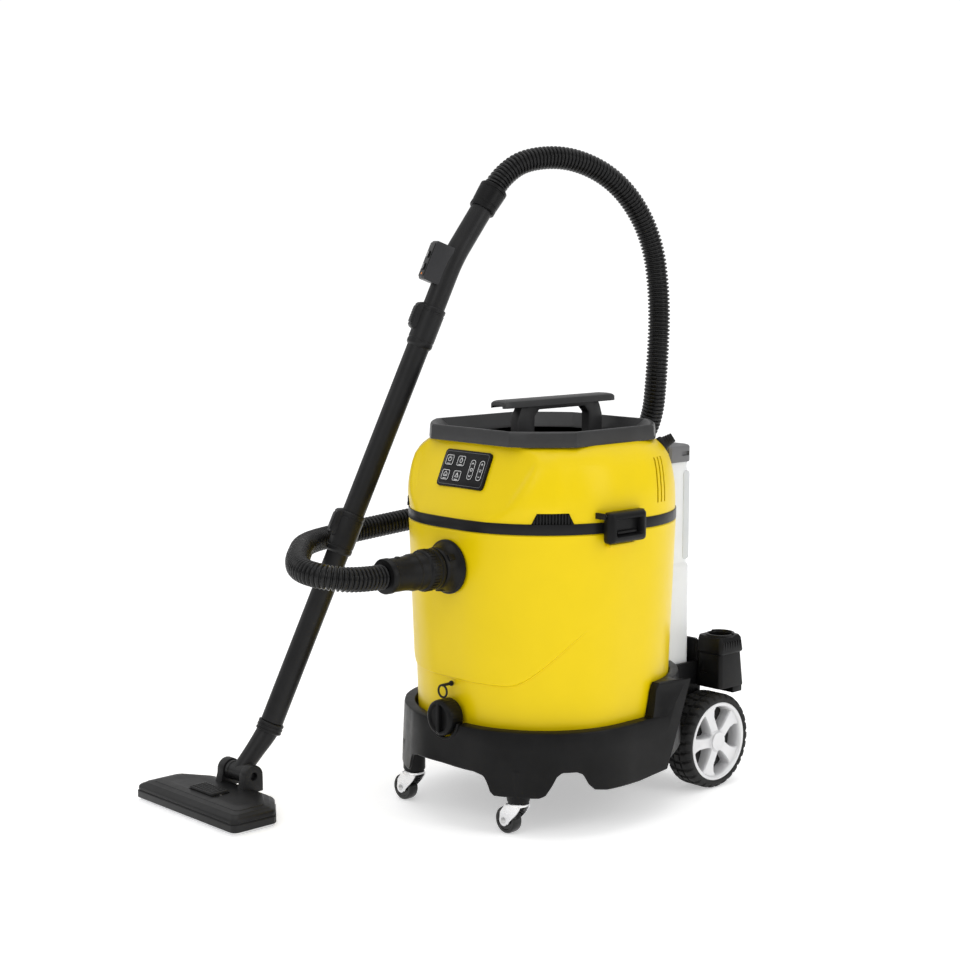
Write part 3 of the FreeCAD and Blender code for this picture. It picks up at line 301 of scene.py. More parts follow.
def refined(node, material, bevel=0.6, limit=30, cuts=()):
    """The CAD node's own shape as a welded mesh with rounded edges."""
    mesh = bpy.data.meshes.new(node + "_look")
    bm = bmesh.new()
    bm.from_mesh(frame["nodes"][node].data)
    bmesh.ops.remove_doubles(bm, verts=bm.verts, dist=1e-6)
    bmesh.ops.dissolve_limit(bm, angle_limit=math.radians(0.8), verts=bm.verts, edges=bm.edges)
    bm.to_mesh(mesh)
    bm.free()
    item = bpy.data.objects.new(node + "_look", mesh)
    bpy.context.scene.collection.objects.link(item)
    for cutter in cuts:
        carve(item, cutter)
    bm = bmesh.new()
    bm.from_mesh(item.data)
    if bevel:
        soften(bm, bevel * MM)
    bm.to_mesh(item.data)
    bm.free()
    return settle(item, body_of(node), (node,), material, limit)


# ---- Materials -----------------------------------------------------------------------------------


def finish(name, color, rough, spread=0.08, grain=0.6, depth=0.02, tone=0.05, metallic=0.0, coat=0.0,
           coat_rough=0.12, specular=0.5, through=0.0, cloudy=0.0):
    """A moulded or painted surface: uneven colour and gloss, with a fine grain in its height.

    grain is the grain's size in mm, depth its height in mm, and tone the spread of the colour.
    """
    material = bpy.data.materials.new(name)
    material.use_nodes = True
    nodes, links = material.node_tree.nodes, material.node_tree.links
    shader = nodes["Principled BSDF"]
    shader.inputs["Metallic"].default_value = metallic
    shader.inputs["Coat Weight"].default_value = coat
    shader.inputs["Coat Roughness"].default_value = coat_rough
    shader.inputs["Specular IOR Level"].default_value = specular
    shader.inputs["Transmission Weight"].default_value = through
    shader.inputs["Subsurface Weight"].default_value = cloudy
    shader.inputs["Subsurface Radius"].default_value = (1, 1, 1)
    shader.inputs["Subsurface Scale"].default_value = 0.02
    where = nodes.new("ShaderNodeTexCoord")

    def noise(scale, detail, rough_detail=0.55):
        node = nodes.new("ShaderNodeTexNoise")
        node.inputs["Scale"].default_value = scale
        node.inputs["Detail"].default_value = detail
        node.inputs["Roughness"].default_value = rough_detail
        links.new(where.outputs["Object"], node.inputs["Vector"])
        return node.outputs["Fac"]

    def spread_over(source, bottom, top):
        node = nodes.new("ShaderNodeMapRange")
        node.inputs["From Min"].default_value = 0.3
        node.inputs["From Max"].default_value = 0.7
        node.inputs["To Min"].default_value = bottom
        node.inputs["To Max"].default_value = top
        links.new(source, node.inputs["Value"])
        return node.outputs["Result"]

    blend = nodes.new("ShaderNodeMix")
    blend.data_type = "RGBA"
    blend.inputs[6].default_value = (*[c * (1 - tone) for c in color], 1)
    blend.inputs[7].default_value = (*[min(c * (1 + tone) + tone * 0.02, 1) for c in color], 1)
    links.new(spread_over(noise(22, 4), 0, 1), blend.inputs[0])
    links.new(blend.outputs[2], shader.inputs["Base Color"])
    links.new(spread_over(noise(65, 5, 0.6), rough - spread, rough + spread),
              shader.inputs["Roughness"])
    bump = nodes.new("ShaderNodeBump")
    bump.inputs["Strength"].default_value = 0.6
    bump.inputs["Distance"].default_value = depth * MM
    links.new(noise(1000 / grain, 2), bump.inputs["Height"])
    links.new(bump.outputs["Normal"], shader.inputs["Normal"])
    return material


yellow = finish("yellow_shell", (0.80, 0.585, 0.0), 0.33, 0.04, grain=1.1, depth=0.008, tone=0.012,
                specular=0.22)
black = finish("black_plastic", (0.0045, 0.0045, 0.0048), 0.36, 0.06, grain=0.7, depth=0.02,
               tone=0.14, specular=0.14)
band_black = finish("band_plastic", (0.008, 0.008, 0.0085), 0.34, 0.06, grain=0.7, depth=0.02,
                    tone=0.14, specular=0.16)
tray_grey = finish("tray_plastic", (0.030, 0.030, 0.031), 0.38, 0.06, grain=0.8, depth=0.03,
                   tone=0.10, specular=0.3)
rubber = finish("tyre_rubber", (0.014, 0.014, 0.014), 0.58, 0.10, grain=0.9, depth=0.05, tone=0.22,
                specular=0.2)
silver = finish("silver_paint", (0.72, 0.72, 0.73), 0.36, 0.05, grain=0.35, depth=0.012, tone=0.05,
                metallic=0.35)
zinc = finish("zinc_steel", (0.78, 0.78, 0.79), 0.26, 0.10, grain=1.6, depth=0.012, tone=0.08,
              metallic=1.0)
steel = finish("ground_steel", (0.60, 0.60, 0.60), 0.34, 0.08, grain=0.5, depth=0.01, tone=0.06,
               metallic=1.0)
caster_black = finish("caster_black", (0.006, 0.006, 0.006), 0.24, 0.08, grain=1.2, depth=0.02,
                      tone=0.15, coat=0.3, specular=0.22)
milky = finish("milky_tank", (0.86, 0.875, 0.88), 0.34, 0.05, grain=0.9, depth=0.02, tone=0.02,
               through=0.12, cloudy=0.25)
milky_strip = finish("milky_strip", (0.60, 0.62, 0.63), 0.40, 0.05, grain=0.8, depth=0.03, tone=0.04)
grey = finish("grey_plastic", (0.13, 0.13, 0.135), 0.44, 0.06, grain=0.7, depth=0.03, tone=0.08)
panel_black = finish("panel_face", (0.004, 0.004, 0.0045), 0.26, 0.05, grain=2.5, depth=0.004,
                     tone=0.10, specular=0.16)
key_black = finish("key_face", (0.010, 0.010, 0.011), 0.30, 0.05, grain=1.5, depth=0.006, tone=0.10,
                   specular=0.18)
remote_grey = finish("remote_grey", (0.028, 0.028, 0.030), 0.40, 0.06, grain=0.7, depth=0.03,
                     tone=0.08, specular=0.25)
print_white = finish("print_white", (0.82, 0.82, 0.82), 0.45, 0.06, grain=0.4, depth=0.005, tone=0.04)
circuit_green = finish("circuit_green", (0.02, 0.16, 0.05), 0.40, 0.10, grain=2.0, depth=0.03,
                       tone=0.25)
inner_plastic = finish("inner_plastic", (0.52, 0.52, 0.49), 0.46, 0.06, grain=0.9, depth=0.03,
                       tone=0.05)
hose_black = finish("hose_plastic", (0.0045, 0.0045, 0.0048), 0.27, 0.06, grain=0.9, depth=0.015,
                    tone=0.18, specular=0.24)
wand_black = finish("wand_plastic", (0.012, 0.012, 0.0125), 0.36, 0.05, grain=0.6, depth=0.02,
                    tone=0.10, specular=0.2)
bristle_black = finish("bristle", (0.02, 0.02, 0.021), 0.70, 0.12, grain=0.5, depth=0.15, tone=0.4,
                       specular=0.22)
sole_metal = finish("sole_metal", (0.66, 0.66, 0.67), 0.32, 0.10, grain=0.7, depth=0.02, tone=0.08,
                    metallic=0.9)
soft_rubber = finish("soft_rubber", (0.008, 0.008, 0.008), 0.50, 0.08, grain=0.8, depth=0.03,
                     tone=0.15, specular=0.22)
lamp_orange = finish("lamp_orange", (0.75, 0.22, 0.02), 0.30, 0.05, grain=0.8, depth=0.01, tone=0.08)

# ---- Recovery tank -------------------------------------------------------------------------------

TANK_FOOT, TANK_TOP = low("recovery_tank").z, band_low.z / MM - 0.3
FOOT_HALF, TOP_HALF = 182, 194
WALL = 3.2


def tank_half(z):
    return FOOT_HALF + (TOP_HALF - FOOT_HALF) * (z - TANK_FOOT) / (TANK_TOP - TANK_FOOT)


def waist_z(point):
    """Height of the step that runs round the tank: level in front, sweeping up at the corners."""
    return between(bearing(point), (30, 218), (34, 221), (38, 228), (43, 240), (48, 254), (53, 269),
                   (58, 284), (64, 300))


def tank_ring(level):
    """The drum's skin at the height level gives for the step's height, pressed in below the step."""
    out = []
    lower = around(FOOT_HALF, TANK_FOOT, quarter=60)
    upper = around(TOP_HALF, TANK_TOP, quarter=60)
    for foot, top in zip(lower, upper):
        waist = waist_z(foot)
        z = level(waist)
        point = foot.lerp(top, (z - TANK_FOOT) / (TANK_TOP - TANK_FOOT))
        depth = 3.4 * (1 - eased(bearing(foot), 54, 68)) * eased(waist - z, -1.1, 1.1)
        out.append(point - Vector((point.x, point.y, 0)).normalized() * depth)
    return out


def recovery_tank():
    rings = [tank_ring(lambda waist, k=k: TANK_FOOT + (waist - 4 - TANK_FOOT) * k / 12)
             for k in range(13)]
    steps = (-3, -2, -1.4, -1, -0.6, -0.2, 0.2, 0.6, 1, 1.4, 2, 3)
    rings += [tank_ring(lambda waist, k=k: waist + k) for k in steps]
    rings += [tank_ring(lambda waist, k=k: waist + 4 + (TANK_TOP - 6 - waist) * k / 12)
              for k in range(13)]
    inner = WALL + 3.6
    rim_and_inside = ((TOP_HALF - 0.4, TANK_TOP - 1.6), (TOP_HALF - 1.4, TANK_TOP),
                      (TOP_HALF - inner, TANK_TOP), (tank_half(300) - inner, 300),
                      (tank_half(200) - inner, 200), (FOOT_HALF - inner, TANK_FOOT + WALL + 6),
                      (FOOT_HALF - WALL - 6, TANK_FOOT + WALL))
    rings += [around(half, z, quarter=60) for half, z in rim_and_inside]
    inlet_hole = axes((0, low("inlet_port").y + 30, inlet_z), (0, -1, 0))
    drain_hole = axes((0, -tank_half(drain_z), drain_z), (0, -1, 0))
    cuts = [moved(lathe([(27, -60), (27, 60)]), inlet_hole),
            moved(lathe([(17, -60), (17, 60)]), drain_hole)]
    piece("tank_shell", loft(rings), yellow, "root", ("recovery_tank",), cuts=cuts, limit=28)
    for side in (-1, 1):
        latch_y = middle("latch_left").y
        x = side * (TOP_HALF + 1.5)
        keeper = block(x - 4, x + 4, latch_y - 26, latch_y + 26, 421, 425.2)
        piece(f"tank_keeper_{'left' if side < 0 else 'right'}", keeper, yellow, "root", bevel=1)


inlet_z = middle("inlet_port").z
drain_z = middle("drain_spout").z
recovery_tank()

# ---- Inlet, connector and drain ------------------------------------------------------------------


def inlet():
    back = high("inlet_port").y
    place = axes((0, back, inlet_z), (0, -1, 0), (1, 0, 0))
    port = [(22.3, 0), (26.7, 0), (26.7, 17.8), (38.5, 17.8), (40, 19), (40, 21), (38.6, 22.2),
            (37.6, 22.6), (34.5, 27), (32.4, 33), (31.4, 39), (31.2, 43), (30.2, 45.4), (28.6, 46),
            (23.2, 46), (22.3, 45)]
    piece("inlet_bezel", lathe(port, 96, closed=True), black, "root", ("inlet_port",), place=place)
    lugs = [moved(block(30, 33.6, -5, 5, 27, 41), turned(a)) for a in (35, 155, 275)]
    piece("inlet_lugs", merge(*lugs), black, "root", place=place, bevel=1)

    start = high("hose_connector").y
    place = axes((0, start, inlet_z), (0, -1, 0), (1, 0, 0))
    collar = [(15.5, 0), (22, 0), (22, 34), (28.4, 34), (30, 35.6), (30, 40), (29, 41), (29, 43),
              (30, 44), (30, 58), (29, 60), (27.4, 61), (27, 63), (27, 72), (26.2, 73.4), (26.2, 76),
              (27, 77), (27, 79), (25.6, 84), (24.6, 92), (24.5, 118), (25.6, 119.5), (25.6, 127.6),
              (24.5, 129.4), (17, 130), (15.5, 128.5)]
    piece("connector_collar", lathe(collar, 96, closed=True), black, "root", ("hose_connector",),
          place=place)
    ribs = []
    for index in range(36):
        ribs.append(moved(block(29.4, 30.9, -1.1, 1.1, 45.5, 56.5), turned(10 * index)))
    piece("connector_knurl", merge(*ribs), black, "root", place=place, bevel=0.4)
    pin = moved(lathe([(4.2, 0), (4.2, 2.2), (3.2, 3)], 24), axes((0, 22.8, 103), (0, 1, 0)))
    piece("connector_pin", pin, soft_rubber, "root", place=place)


def drain():
    back = high("drain_spout").y
    place = axes((0, back, drain_z), (0, -1, 0), (1, 0, 0))
    spout = [(13, 0), (16.5, 0), (16.5, 13), (19.6, 13), (20.5, 13.8), (20.5, 15.4), (19.6, 16),
             (16.5, 16), (16.5, 32), (15.6, 33), (13, 33)]
    piece("drain_pipe", lathe(spout, 64, closed=True), black, "root", ("drain_spout",), place=place)
    face = high("drain_cap").y
    place = axes((0, face, drain_z), (0, -1, 0), (1, 0, 0))
    count = 96
    rings = []
    for radius, z, grip in ((16.8, 20, 0), (16.8, 0, 0), (26, 0, 0), (27, 1.2, 1), (27, 20, 1),
                            (26.2, 23.2, 0.6), (24.4, 25.2, 0), (22.5, 26, 0), (20.5, 25.7, 0),
                            (18.5, 22.5, 0), (6, 20.6, 0)):
        ring = []
        for index in range(count):
            turn = 2 * math.pi * index / count
            r = radius - 0.9 * grip * (0.5 + 0.5 * math.cos(turn * 32))
            ring.append((r * math.cos(turn), r * math.sin(turn), z))
        rings.append(ring)
    piece("drain_knob", loft(rings), black, "drain_plug", ("drain_cap",), place=place)
    rib = []
    for x, z in ((-3.2, 20), (-2.6, 27.4), (-1.4, 29.3), (1.4, 29.3), (2.6, 27.4), (3.2, 20)):
        rib.append((x, z))
    spread = (-23.5, -19, 19, 23.5)
    bar = loft([[(x, y, z if abs(y) < 20 else min(z, 25.4)) for x, z in rib] for y in spread])
    piece("drain_rib", bar, black, "drain_plug", place=place, bevel=0.5)


inlet()
drain()
refined("drain_tether", soft_rubber, 0)

# ---- Trolley -------------------------------------------------------------------------------------

LIP_Z = 156
LIP_HALF, SKIRT_HALF = 202, 206


def skirt_foot(point):
    """Lower edge of the skirt: corner legs, a low arch in front and one on each side."""
    return between(bearing(point), (0, 93), (17, 92), (21.5, 88), (23.2, 78), (24.4, 66), (26, 60.5),
                   (44, 60.5), (46.5, 64), (49, 78), (51, 92), (53, 98), (59, 98), (61.5, 94),
                   (64, 78), (66.5, 70), (72, 67), (90, 68), (104, 74), (109, 86), (130, 96))


def skirt_top(point):
    """The lip, which climbs to a shoulder in front of each wheel."""
    climb = between(bearing(point), (99.6, LIP_Z), (100.6, LIP_Z + 10), (102.2, LIP_Z + 38),
                    (103.2, 203), (104, 206), (148, 206), (152, 200))
    if point.y > 0 and abs(point.x) < 104:
        return LIP_Z
    return climb


def side_wall(point, z):
    """Past the middle the wall runs straight back to a slanted edge, then turns in to the drum."""
    turn = bearing(point)
    plain = Vector((point.x, point.y, z))
    if turn <= 90 or turn >= 116:
        return plain
    reach = 68 + 52 * (z - 92) / 114
    edge = Vector((math.copysign(SKIRT_HALF, point.x), reach, z))
    if turn < 104:
        return Vector((edge.x, reach * (turn - 90) / 14, z))
    return edge.lerp(plain, (turn - 104) / 12)


def trolley():
    outer = around(SKIRT_HALF, 0, quarter=90, run=16)
    rings = [[] for _ in range(12)]
    for point in outer:
        way = Vector((point.x, point.y, 0)).normalized()
        foot, top = skirt_foot(point), skirt_top(point)
        inner_half = tank_half(top) + 1.0

        def at(z, shrink):
            if shrink > 6:
                return Vector((point.x, point.y, z)) - way * shrink
            return side_wall(point, z) - way * shrink

        slope = (SKIRT_HALF - LIP_HALF) * (top - foot) / 96
        fall = SKIRT_HALF - inner_half
        rings[0].append(at(foot + 1.2, 4.2))
        rings[1].append(at(foot, 3.4))
        rings[2].append(at(foot, 1.4))
        rings[3].append(at(foot + 1.6, 0.3))
        rings[4].append(at(foot * 0.66 + top * 0.34, slope * 0.3))
        rings[5].append(at(foot * 0.33 + top * 0.67, slope * 0.65))
        rings[6].append(at(top - 3.4, slope))
        rings[7].append(at(top - 1.2, slope + 0.8))
        rings[8].append(at(top, slope + 2.6))
        rings[9].append(at(top, fall - 1.4))
        rings[10].append(at(top - 2.4, fall))
        rings[11].append(at(top - 12 if top < 170 else top - 40, fall + 0.2))
    inner = [[], []]
    for point in outer:
        way = Vector((point.x, point.y, 0)).normalized()
        top, foot = skirt_top(point), skirt_foot(point)
        inner[0].append(Vector((point.x, point.y, max(top - 16, 118))) - way * 8)
        inner[1].append(side_wall(point, foot + 6) - way * 4.6)
    shell = loft(rings[:12] + inner, closed=True)
    cuts = []
    for side in (-1, 1):
        arch = lathe([(82, 0), (82, 120)], 96)
        cuts.append(moved(arch, axes((side * 108, low("rear_axle").y + 6, 75), (side, 0, 0))))
    cuts.append(moved(lathe([(30.5, 0), (30.5, 70)], 64), axes((0, -150, drain_z), (0, -1, 0))))
    piece("trolley_skirt", shell, black, "root", ("base_trolley",), cuts=cuts, limit=34)

    deck = [around(186, z, quarter=28) for z in (98, 105.4)]
    piece("trolley_deck", loft(deck), black, "root",
          cuts=[moved(lathe([(83, 0), (83, 120)], 64), axes((side * 108, 241, 75), (side, 0, 0)))
                for side in (-1, 1)])
    ribs = []
    for x in (-90, -30, 30, 90):
        ribs.append(block(x - 1.5, x + 1.5, -130, 120, 84, 98.5))
    for y in (-80, 0, 80):
        ribs.append(block(-130, 130, y - 1.5, y + 1.5, 86, 98.3))
    piece("deck_ribs", merge(*ribs), black, "root")
    ring = [(29.2, 0), (33.5, 0), (33.5, 3.4), (32.4, 4.6), (30.2, 4.6), (29.2, 3.6)]
    piece("drain_recess_ring", lathe(ring, 72, closed=True), black, "root",
          place=axes((0, -201, drain_z), (0, -1, 0)),
          cuts=[block(-60, 60, -260, -100, 157.5, 260)])
    for side, name in ((-1, "left"), (1, "right")):
        stem = middle(f"caster_fork_{name}")
        stem.x = drawn(JOINTS[f"caster_{name}_swivel"]["pos_m"]).x
        boss = [(5.7, 50), (14, 50), (16, 51.4), (17, 54), (17, 98.8), (5.7, 98.8)]
        piece(f"caster_boss_{name}", lathe(boss, 48, closed=True), black, "root",
              place=shift(stem.x, stem.y))


def chassis():
    """The frame behind the drum that carries the axle, the pump and the clean-water tank."""
    half, back = 108.5, high("base_trolley").y
    side_outline = [(150, 60), (back - 6, 60), (back, 66), (back, 222), (back - 5, 228),
                    (back - 7, 230), (back - 7, 195), (150, 195)]
    cheeks = []
    for side in (-1, 1):
        x0, x1 = sorted((side * half, side * (half - 7)))
        cheeks.append(moved(prism(side_outline, x0, x1), ALONG_X))
    wall = block(-half + 7, half - 7, back - 7, back, 60, 230)
    shelf = block(-half + 7, half - 7, 150, back - 7, LIP_Z - 8, LIP_Z)
    beam = block(-half + 7, half - 7, 222, 248, 62, 88)
    drum = [around(tank_half(230) + 0.8, z, quarter=28) for z in (100, 300)]
    cut_drum = loft(drum)
    axle = moved(lathe([(6.1, -130), (6.1, 130)], 32), axes((0, 235, 75), (1, 0, 0)))
    for name, shape in (("chassis_cheek_left", cheeks[0]), ("chassis_cheek_right", cheeks[1]),
                        ("chassis_wall", wall), ("chassis_shelf", shelf), ("chassis_beam", beam)):
        piece(name, shape, black, "root", bevel=1.2, cuts=[cut_drum, axle])


trolley()
chassis()

# ---- Wheels and castors --------------------------------------------------------------------------


def spoke_rise(x):
    """How far a spoke's face rises along its length."""
    return 2.6 * eased(x, 44, 56) - 3.2 * eased(x, 14, 40)


def rear_wheel(name, side):
    """Treaded tyre, five-spoke hub and cap; the outer face is up before it is turned."""
    inner = low(f"tyre_{name}").x if side > 0 else high(f"tyre_{name}").x
    place = axes((inner, middle(f"tyre_{name}").y, middle(f"tyre_{name}").z), (side, 0, 0), (0, 0, 1))
    blocks = 30
    count = blocks * 10
    profile = [(60.2, 2.2, 0), (63, 0.8, 0), (66, 0.2, 0), (69, 0.6, 0.5), (72.4, 2.6, 1),
               (74.4, 5.6, 1), (75, 9, 1), (75, 16.9, 1), (75, 17, 2), (75, 20.4, 2), (75, 20.5, 1),
               (75, 29.5, 1), (75, 29.6, 2), (75, 33, 2), (75, 33.1, 1), (75, 41, 1), (74.4, 44.4, 1),
               (72.4, 47.4, 1), (69, 49.4, 0.5), (66, 49.8, 0), (63, 49.2, 0), (60.2, 47.8, 0)]
    rings = []
    for radius, z, tread in profile:
        ring = []
        for index in range(count):
            slant = abs(z - 25) / 25 * 4.0
            phase = (index + slant) % 10
            groove = 1 if phase < 3 else 0
            if tread == 2:
                depth = 2.6
            else:
                depth = 2.8 * tread * groove
            turn = 2 * math.pi * index / count
            ring.append(((radius - depth) * math.cos(turn), (radius - depth) * math.sin(turn), z))
        rings.append(ring)
    piece(f"tyre_tread_{name}", loft(rings, closed=True), rubber, f"rear_wheel_{name}",
          (f"tyre_{name}",), place=place, limit=30)
    rim = [(53.8, 2), (59.8, 2), (59.8, 45.5), (61.5, 47.6), (61.8, 48.6), (60.8, 49.4), (58, 49.4),
           (56.6, 48.6), (55.2, 46), (53.8, 40)]
    piece(f"rim_{name}", lathe(rim, 96, closed=True), silver, f"rear_wheel_{name}", place=place)
    drum = [(6.1, 2), (53.9, 2), (53.9, 24), (52, 26), (6.1, 26)]
    piece(f"hub_web_{name}", lathe(drum, 72, closed=True), rubber, f"rear_wheel_{name}",
          (f"wheel_hub_{name}",), place=place)
    spokes = []
    for index in range(5):
        outline = [(10, -9.5), (24, -8.4), (38, -9.2), (48, -12.2), (54.6, -18.5), (56, -13),
                   (56.6, 0), (56, 13), (54.6, 18.5), (48, 12.2), (38, 9.2), (24, 8.4), (10, 9.5)]
        rings = []
        for z, shrink in ((27, 1.0), (41, 1.0), (45, 0.96), (46.4, 0.86)):
            rings.append([(x, y * shrink, z + spoke_rise(x)) for x, y in outline])
        spokes.append(moved(loft(rings), turned(72 * index + 18)))
    piece(f"spokes_{name}", merge(*spokes), silver, f"rear_wheel_{name}", place=place, limit=40)
    boss = [(6.1, 20), (17.5, 20), (17.5, 45), (16.6, 46.8), (15.4, 47.6), (6.1, 47.6)]
    piece(f"boss_{name}", lathe(boss, 64, closed=True), silver, f"rear_wheel_{name}", place=place)
    cap = [(14.4, 47.4), (15, 48), (15, 49.2), (14.2, 50.1), (12.4, 50.4), (11.6, 50.1), (4, 50.4)]
    piece(f"cap_{name}", lathe(cap, 64), silver, f"rear_wheel_{name}", (f"hub_cap_{name}",),
          place=place)


def caster(name):
    """Stamped fork with its swivel plate, and the wheel, which trails to the left."""
    stem = drawn(JOINTS[f"caster_{name}_swivel"]["pos_m"])
    hub = drawn(JOINTS[f"caster_{name}_spin"]["pos_m"])
    place = shift(stem.x, stem.y)
    body, wheel_body = f"caster_{name}", f"caster_{name}_wheel"
    top = [(0, 45.2), (13, 45.2), (16, 45.8), (16, 48.6), (15, 49.7), (5.5, 49.7), (5.5, 83.5),
           (4.5, 84)]
    piece(f"fork_plate_{name}", lathe(top, 48), zinc, body, (f"caster_fork_{name}",), place=place)
    turn = Matrix(((1, 0, 0, 0), (0, 0, 1, 0), (0, 1, 0, 0), (0, 0, 0, 1)))
    cheek = [(13, 47), (12.6, 43), (6, 34), (-8, 20), (-11, 15)] + \
        [(x, z) for x, z in arc(-20, 20, 8.4, -30, -200, 10)] + [(-27, 32), (-18, 44), (-15, 47)]
    sides = []
    for way in (-1, 1):
        y0, y1 = sorted((way * 9.1, way * 11.1))
        sides.append(moved(prism(cheek, y0, y1), turn))
    piece(f"fork_cheeks_{name}", merge(*sides), zinc, body, place=place, bevel=0.5)
    bridge = block(-15, 13, -11.1, 11.1, 44.8, 46.8)
    piece(f"fork_bridge_{name}", bridge, zinc, body, place=place, bevel=0.6)
    rivet = [(3, -9), (3, 9)]
    head = [(0.4, 13.4), (2.4, 13.1), (4.2, 12), (4.6, 11)]
    pins = merge(lathe(rivet, 24), lathe(head, 24), lathe([(r, -z) for r, z in head], 24))
    piece(f"fork_rivet_{name}", pins, steel, body, place=axes((hub.x, hub.y, hub.z), (0, 1, 0)))
    wheel = [(3.1, -8.5), (8, -8.5), (9, -7.4), (13.6, -7.4), (14.6, -8.5), (17.6, -8.5),
             (19.2, -7.4), (20, -5.2), (20, 5.2), (19.2, 7.4), (17.6, 8.5), (14.6, 8.5),
             (13.6, 7.4), (9, 7.4), (8, 8.5), (3.1, 8.5)]
    piece(f"caster_tread_{name}", lathe(wheel, 64, closed=True), caster_black, wheel_body,
          (f"caster_wheel_{name}",), place=axes((hub.x, hub.y, hub.z), (0, 1, 0)))


for wheel_name, wheel_side in (("left", -1), ("right", 1)):
    rear_wheel(wheel_name, wheel_side)
    caster(wheel_name)
refined("rear_axle", steel, 0.8)

# ---- Head ----------------------------------------------------------------------------------------

HEAD_FOOT = band_high.z / MM
HEAD_TOP = 563
PRESS = Vector(JOINTS["rocker_mid_press"]["axis"])
FACE_POINT = Vector((0, -160.5, 524.6))


def head_half(z):
    return between(z, (HEAD_FOOT, 193), (480, 192.6), (495, 191.6), (510, 189.2), (524, 186),
                   (536, 182), (545, 176.5), (551, 171.5), (556, 166), (560, 160.5), (563, 154))


def facet_y(z):
    """How far forward the sloping front reaches at a height."""
    return FACE_POINT.y + (z - FACE_POINT.z) * (-PRESS.z / PRESS.y)


def head_ring(z, inset=0):
    """Section of the head: a hollowed face in front, ended on each side by a raised corner."""
    first, second = 92 + 0.424 * (z - 469), 127 + 0.2 * (z - 485)
    out = []
    for point in around(head_half(z) - inset, z, quarter=84, run=16):
        spot = point.copy()
        if point.y < 0:
            wide = abs(point.x)
            spot.y = max(spot.y, facet_y(z) + inset + 0.00095 * wide * wide)
            rise = 2.6 * (1 - eased(bearing(point), 50, 58)) * eased(z, 462, 480) if inset == 0 else 0
            corner = point + Vector((point.x, point.y, 0)).normalized() * rise
            spot = spot.lerp(corner, min(max((wide - first) / (second - first), 0), 1))
        out.append(spot)
    return out


def head_cover():
    heights = [HEAD_FOOT, 459, 464, 470, 476, 482, 488, 494, 500, 506, 512, 518, 524, 530, 536, 541,
               546, 550, 553.5, 556.5, 559, 561, 562.4, HEAD_TOP]
    rings = [head_ring(z) for z in heights]
    rings += [around(134, z, flat=42, quarter=84, run=16) for z in (HEAD_TOP, HEAD_TOP - 4)]
    rings += [head_ring(z, WALL) for z in (557, 545, 530, 500, HEAD_FOOT + 0.2)]
    cuts = []
    tilt = axes(FACE_POINT, PRESS, (1, 0, 0))
    cuts.append(moved(block(-45, 45, -25, 25, -30, 30), tilt))
    for side in (-1, 1):
        for index in range(3):
            y = 49 + 10 * index
            slot = loft([[(side * (150 + 60 * k), y + dy + 6 * lean, z) for dy, z, lean in
                          ((-1.7, 475, 0), (1.7, 475, 0), (1.7, 505, 0.3), (1.7, 540, 1),
                           (-1.7, 540, 1), (-1.7, 505, 0.3))] for k in (0, 1)])
            cuts.append(slot)
        outline = [(-31, 0), (31, 0), (23, 16.5), (-23, 16.5)]
        frame_turn = corner_place(side)
        cuts.append(moved(loft([[(x, depth, z - 1) for x, z in outline] for depth in (-20, 20)]),
                          frame_turn))
    cuts.append(moved(lathe([(12.3, -20), (12.3, 30)], 40), gland_place()))
    piece("head_shell", loft(rings, closed=True), yellow, "head", ("head_cover",),
          cuts=cuts, limit=26)


def corner_place(side):
    """A place across a front corner: X along it, Y outwards, Z up, at the head's foot."""
    out = Vector((side * 154, -133, 0)).normalized()
    along = Vector((0, 0, 1)).cross(out)
    place = Matrix((along, out, Vector((0, 0, 1)))).transposed().to_4x4()
    place.translation = Vector((side * 154, -133, HEAD_FOOT))
    return place


def gland_place():
    return axes((122, 130, 548), (1, 1, 0.9))


def grilles():
    pieces = []
    for side in (-1, 1):
        shapes = []
        outline = [(-30.4, 0.2), (30.4, 0.2), (22.6, 15.6), (-22.6, 15.6)]
        shapes.append(loft([[(x, d, z) for x, z in outline] for d in (-14, -7)]))
        for index in range(13):
            x = -27 + 4.5 * index
            tall = 15 if abs(x) < 22 else 15 - (abs(x) - 22) * 1.9
            shapes.append(block(x - 0.9, x + 0.9, -8, 0.4 - abs(x) * 0.02, 0.4, max(tall, 3)))
        pieces.append(moved(merge(*shapes), corner_place(side)))
    piece("grille_ribs", merge(*pieces), band_black, "head", ("corner_grilles",))


def ears():
    shapes = []
    for side in (-1, 1):
        y = middle("latch_left").y
        for way in (-1, 1):
            mid = y + way * 40.4
            x0, x1 = sorted((side * 184, side * 203))
            shapes.append(block(x0, x1, mid - 1.6, mid + 1.6, 463, 472))
    piece("latch_ears", merge(*shapes), band_black, "head", bevel=0.8)


def tray_ring(half, z):
    """Outline of the tray: four straight faces with bulged corners between crisp edges."""
    points = []
    for quarter in range(4):
        turn = Matrix.Rotation(math.radians(90 * quarter), 3, "Z")
        first, last = Vector((half, half - 69, z)), Vector((half - 69, half, z))
        for step in range(4):
            points.append(turn @ Vector((half, (half - 69) * (step / 2 - 1), z)))
        for step in range(12):
            t = step / 12
            bulge = 20 * t * (1 - t)
            points.append(turn @ (first.lerp(last, t) + Vector((0.7071, 0.7071, 0)) * bulge))
    return points


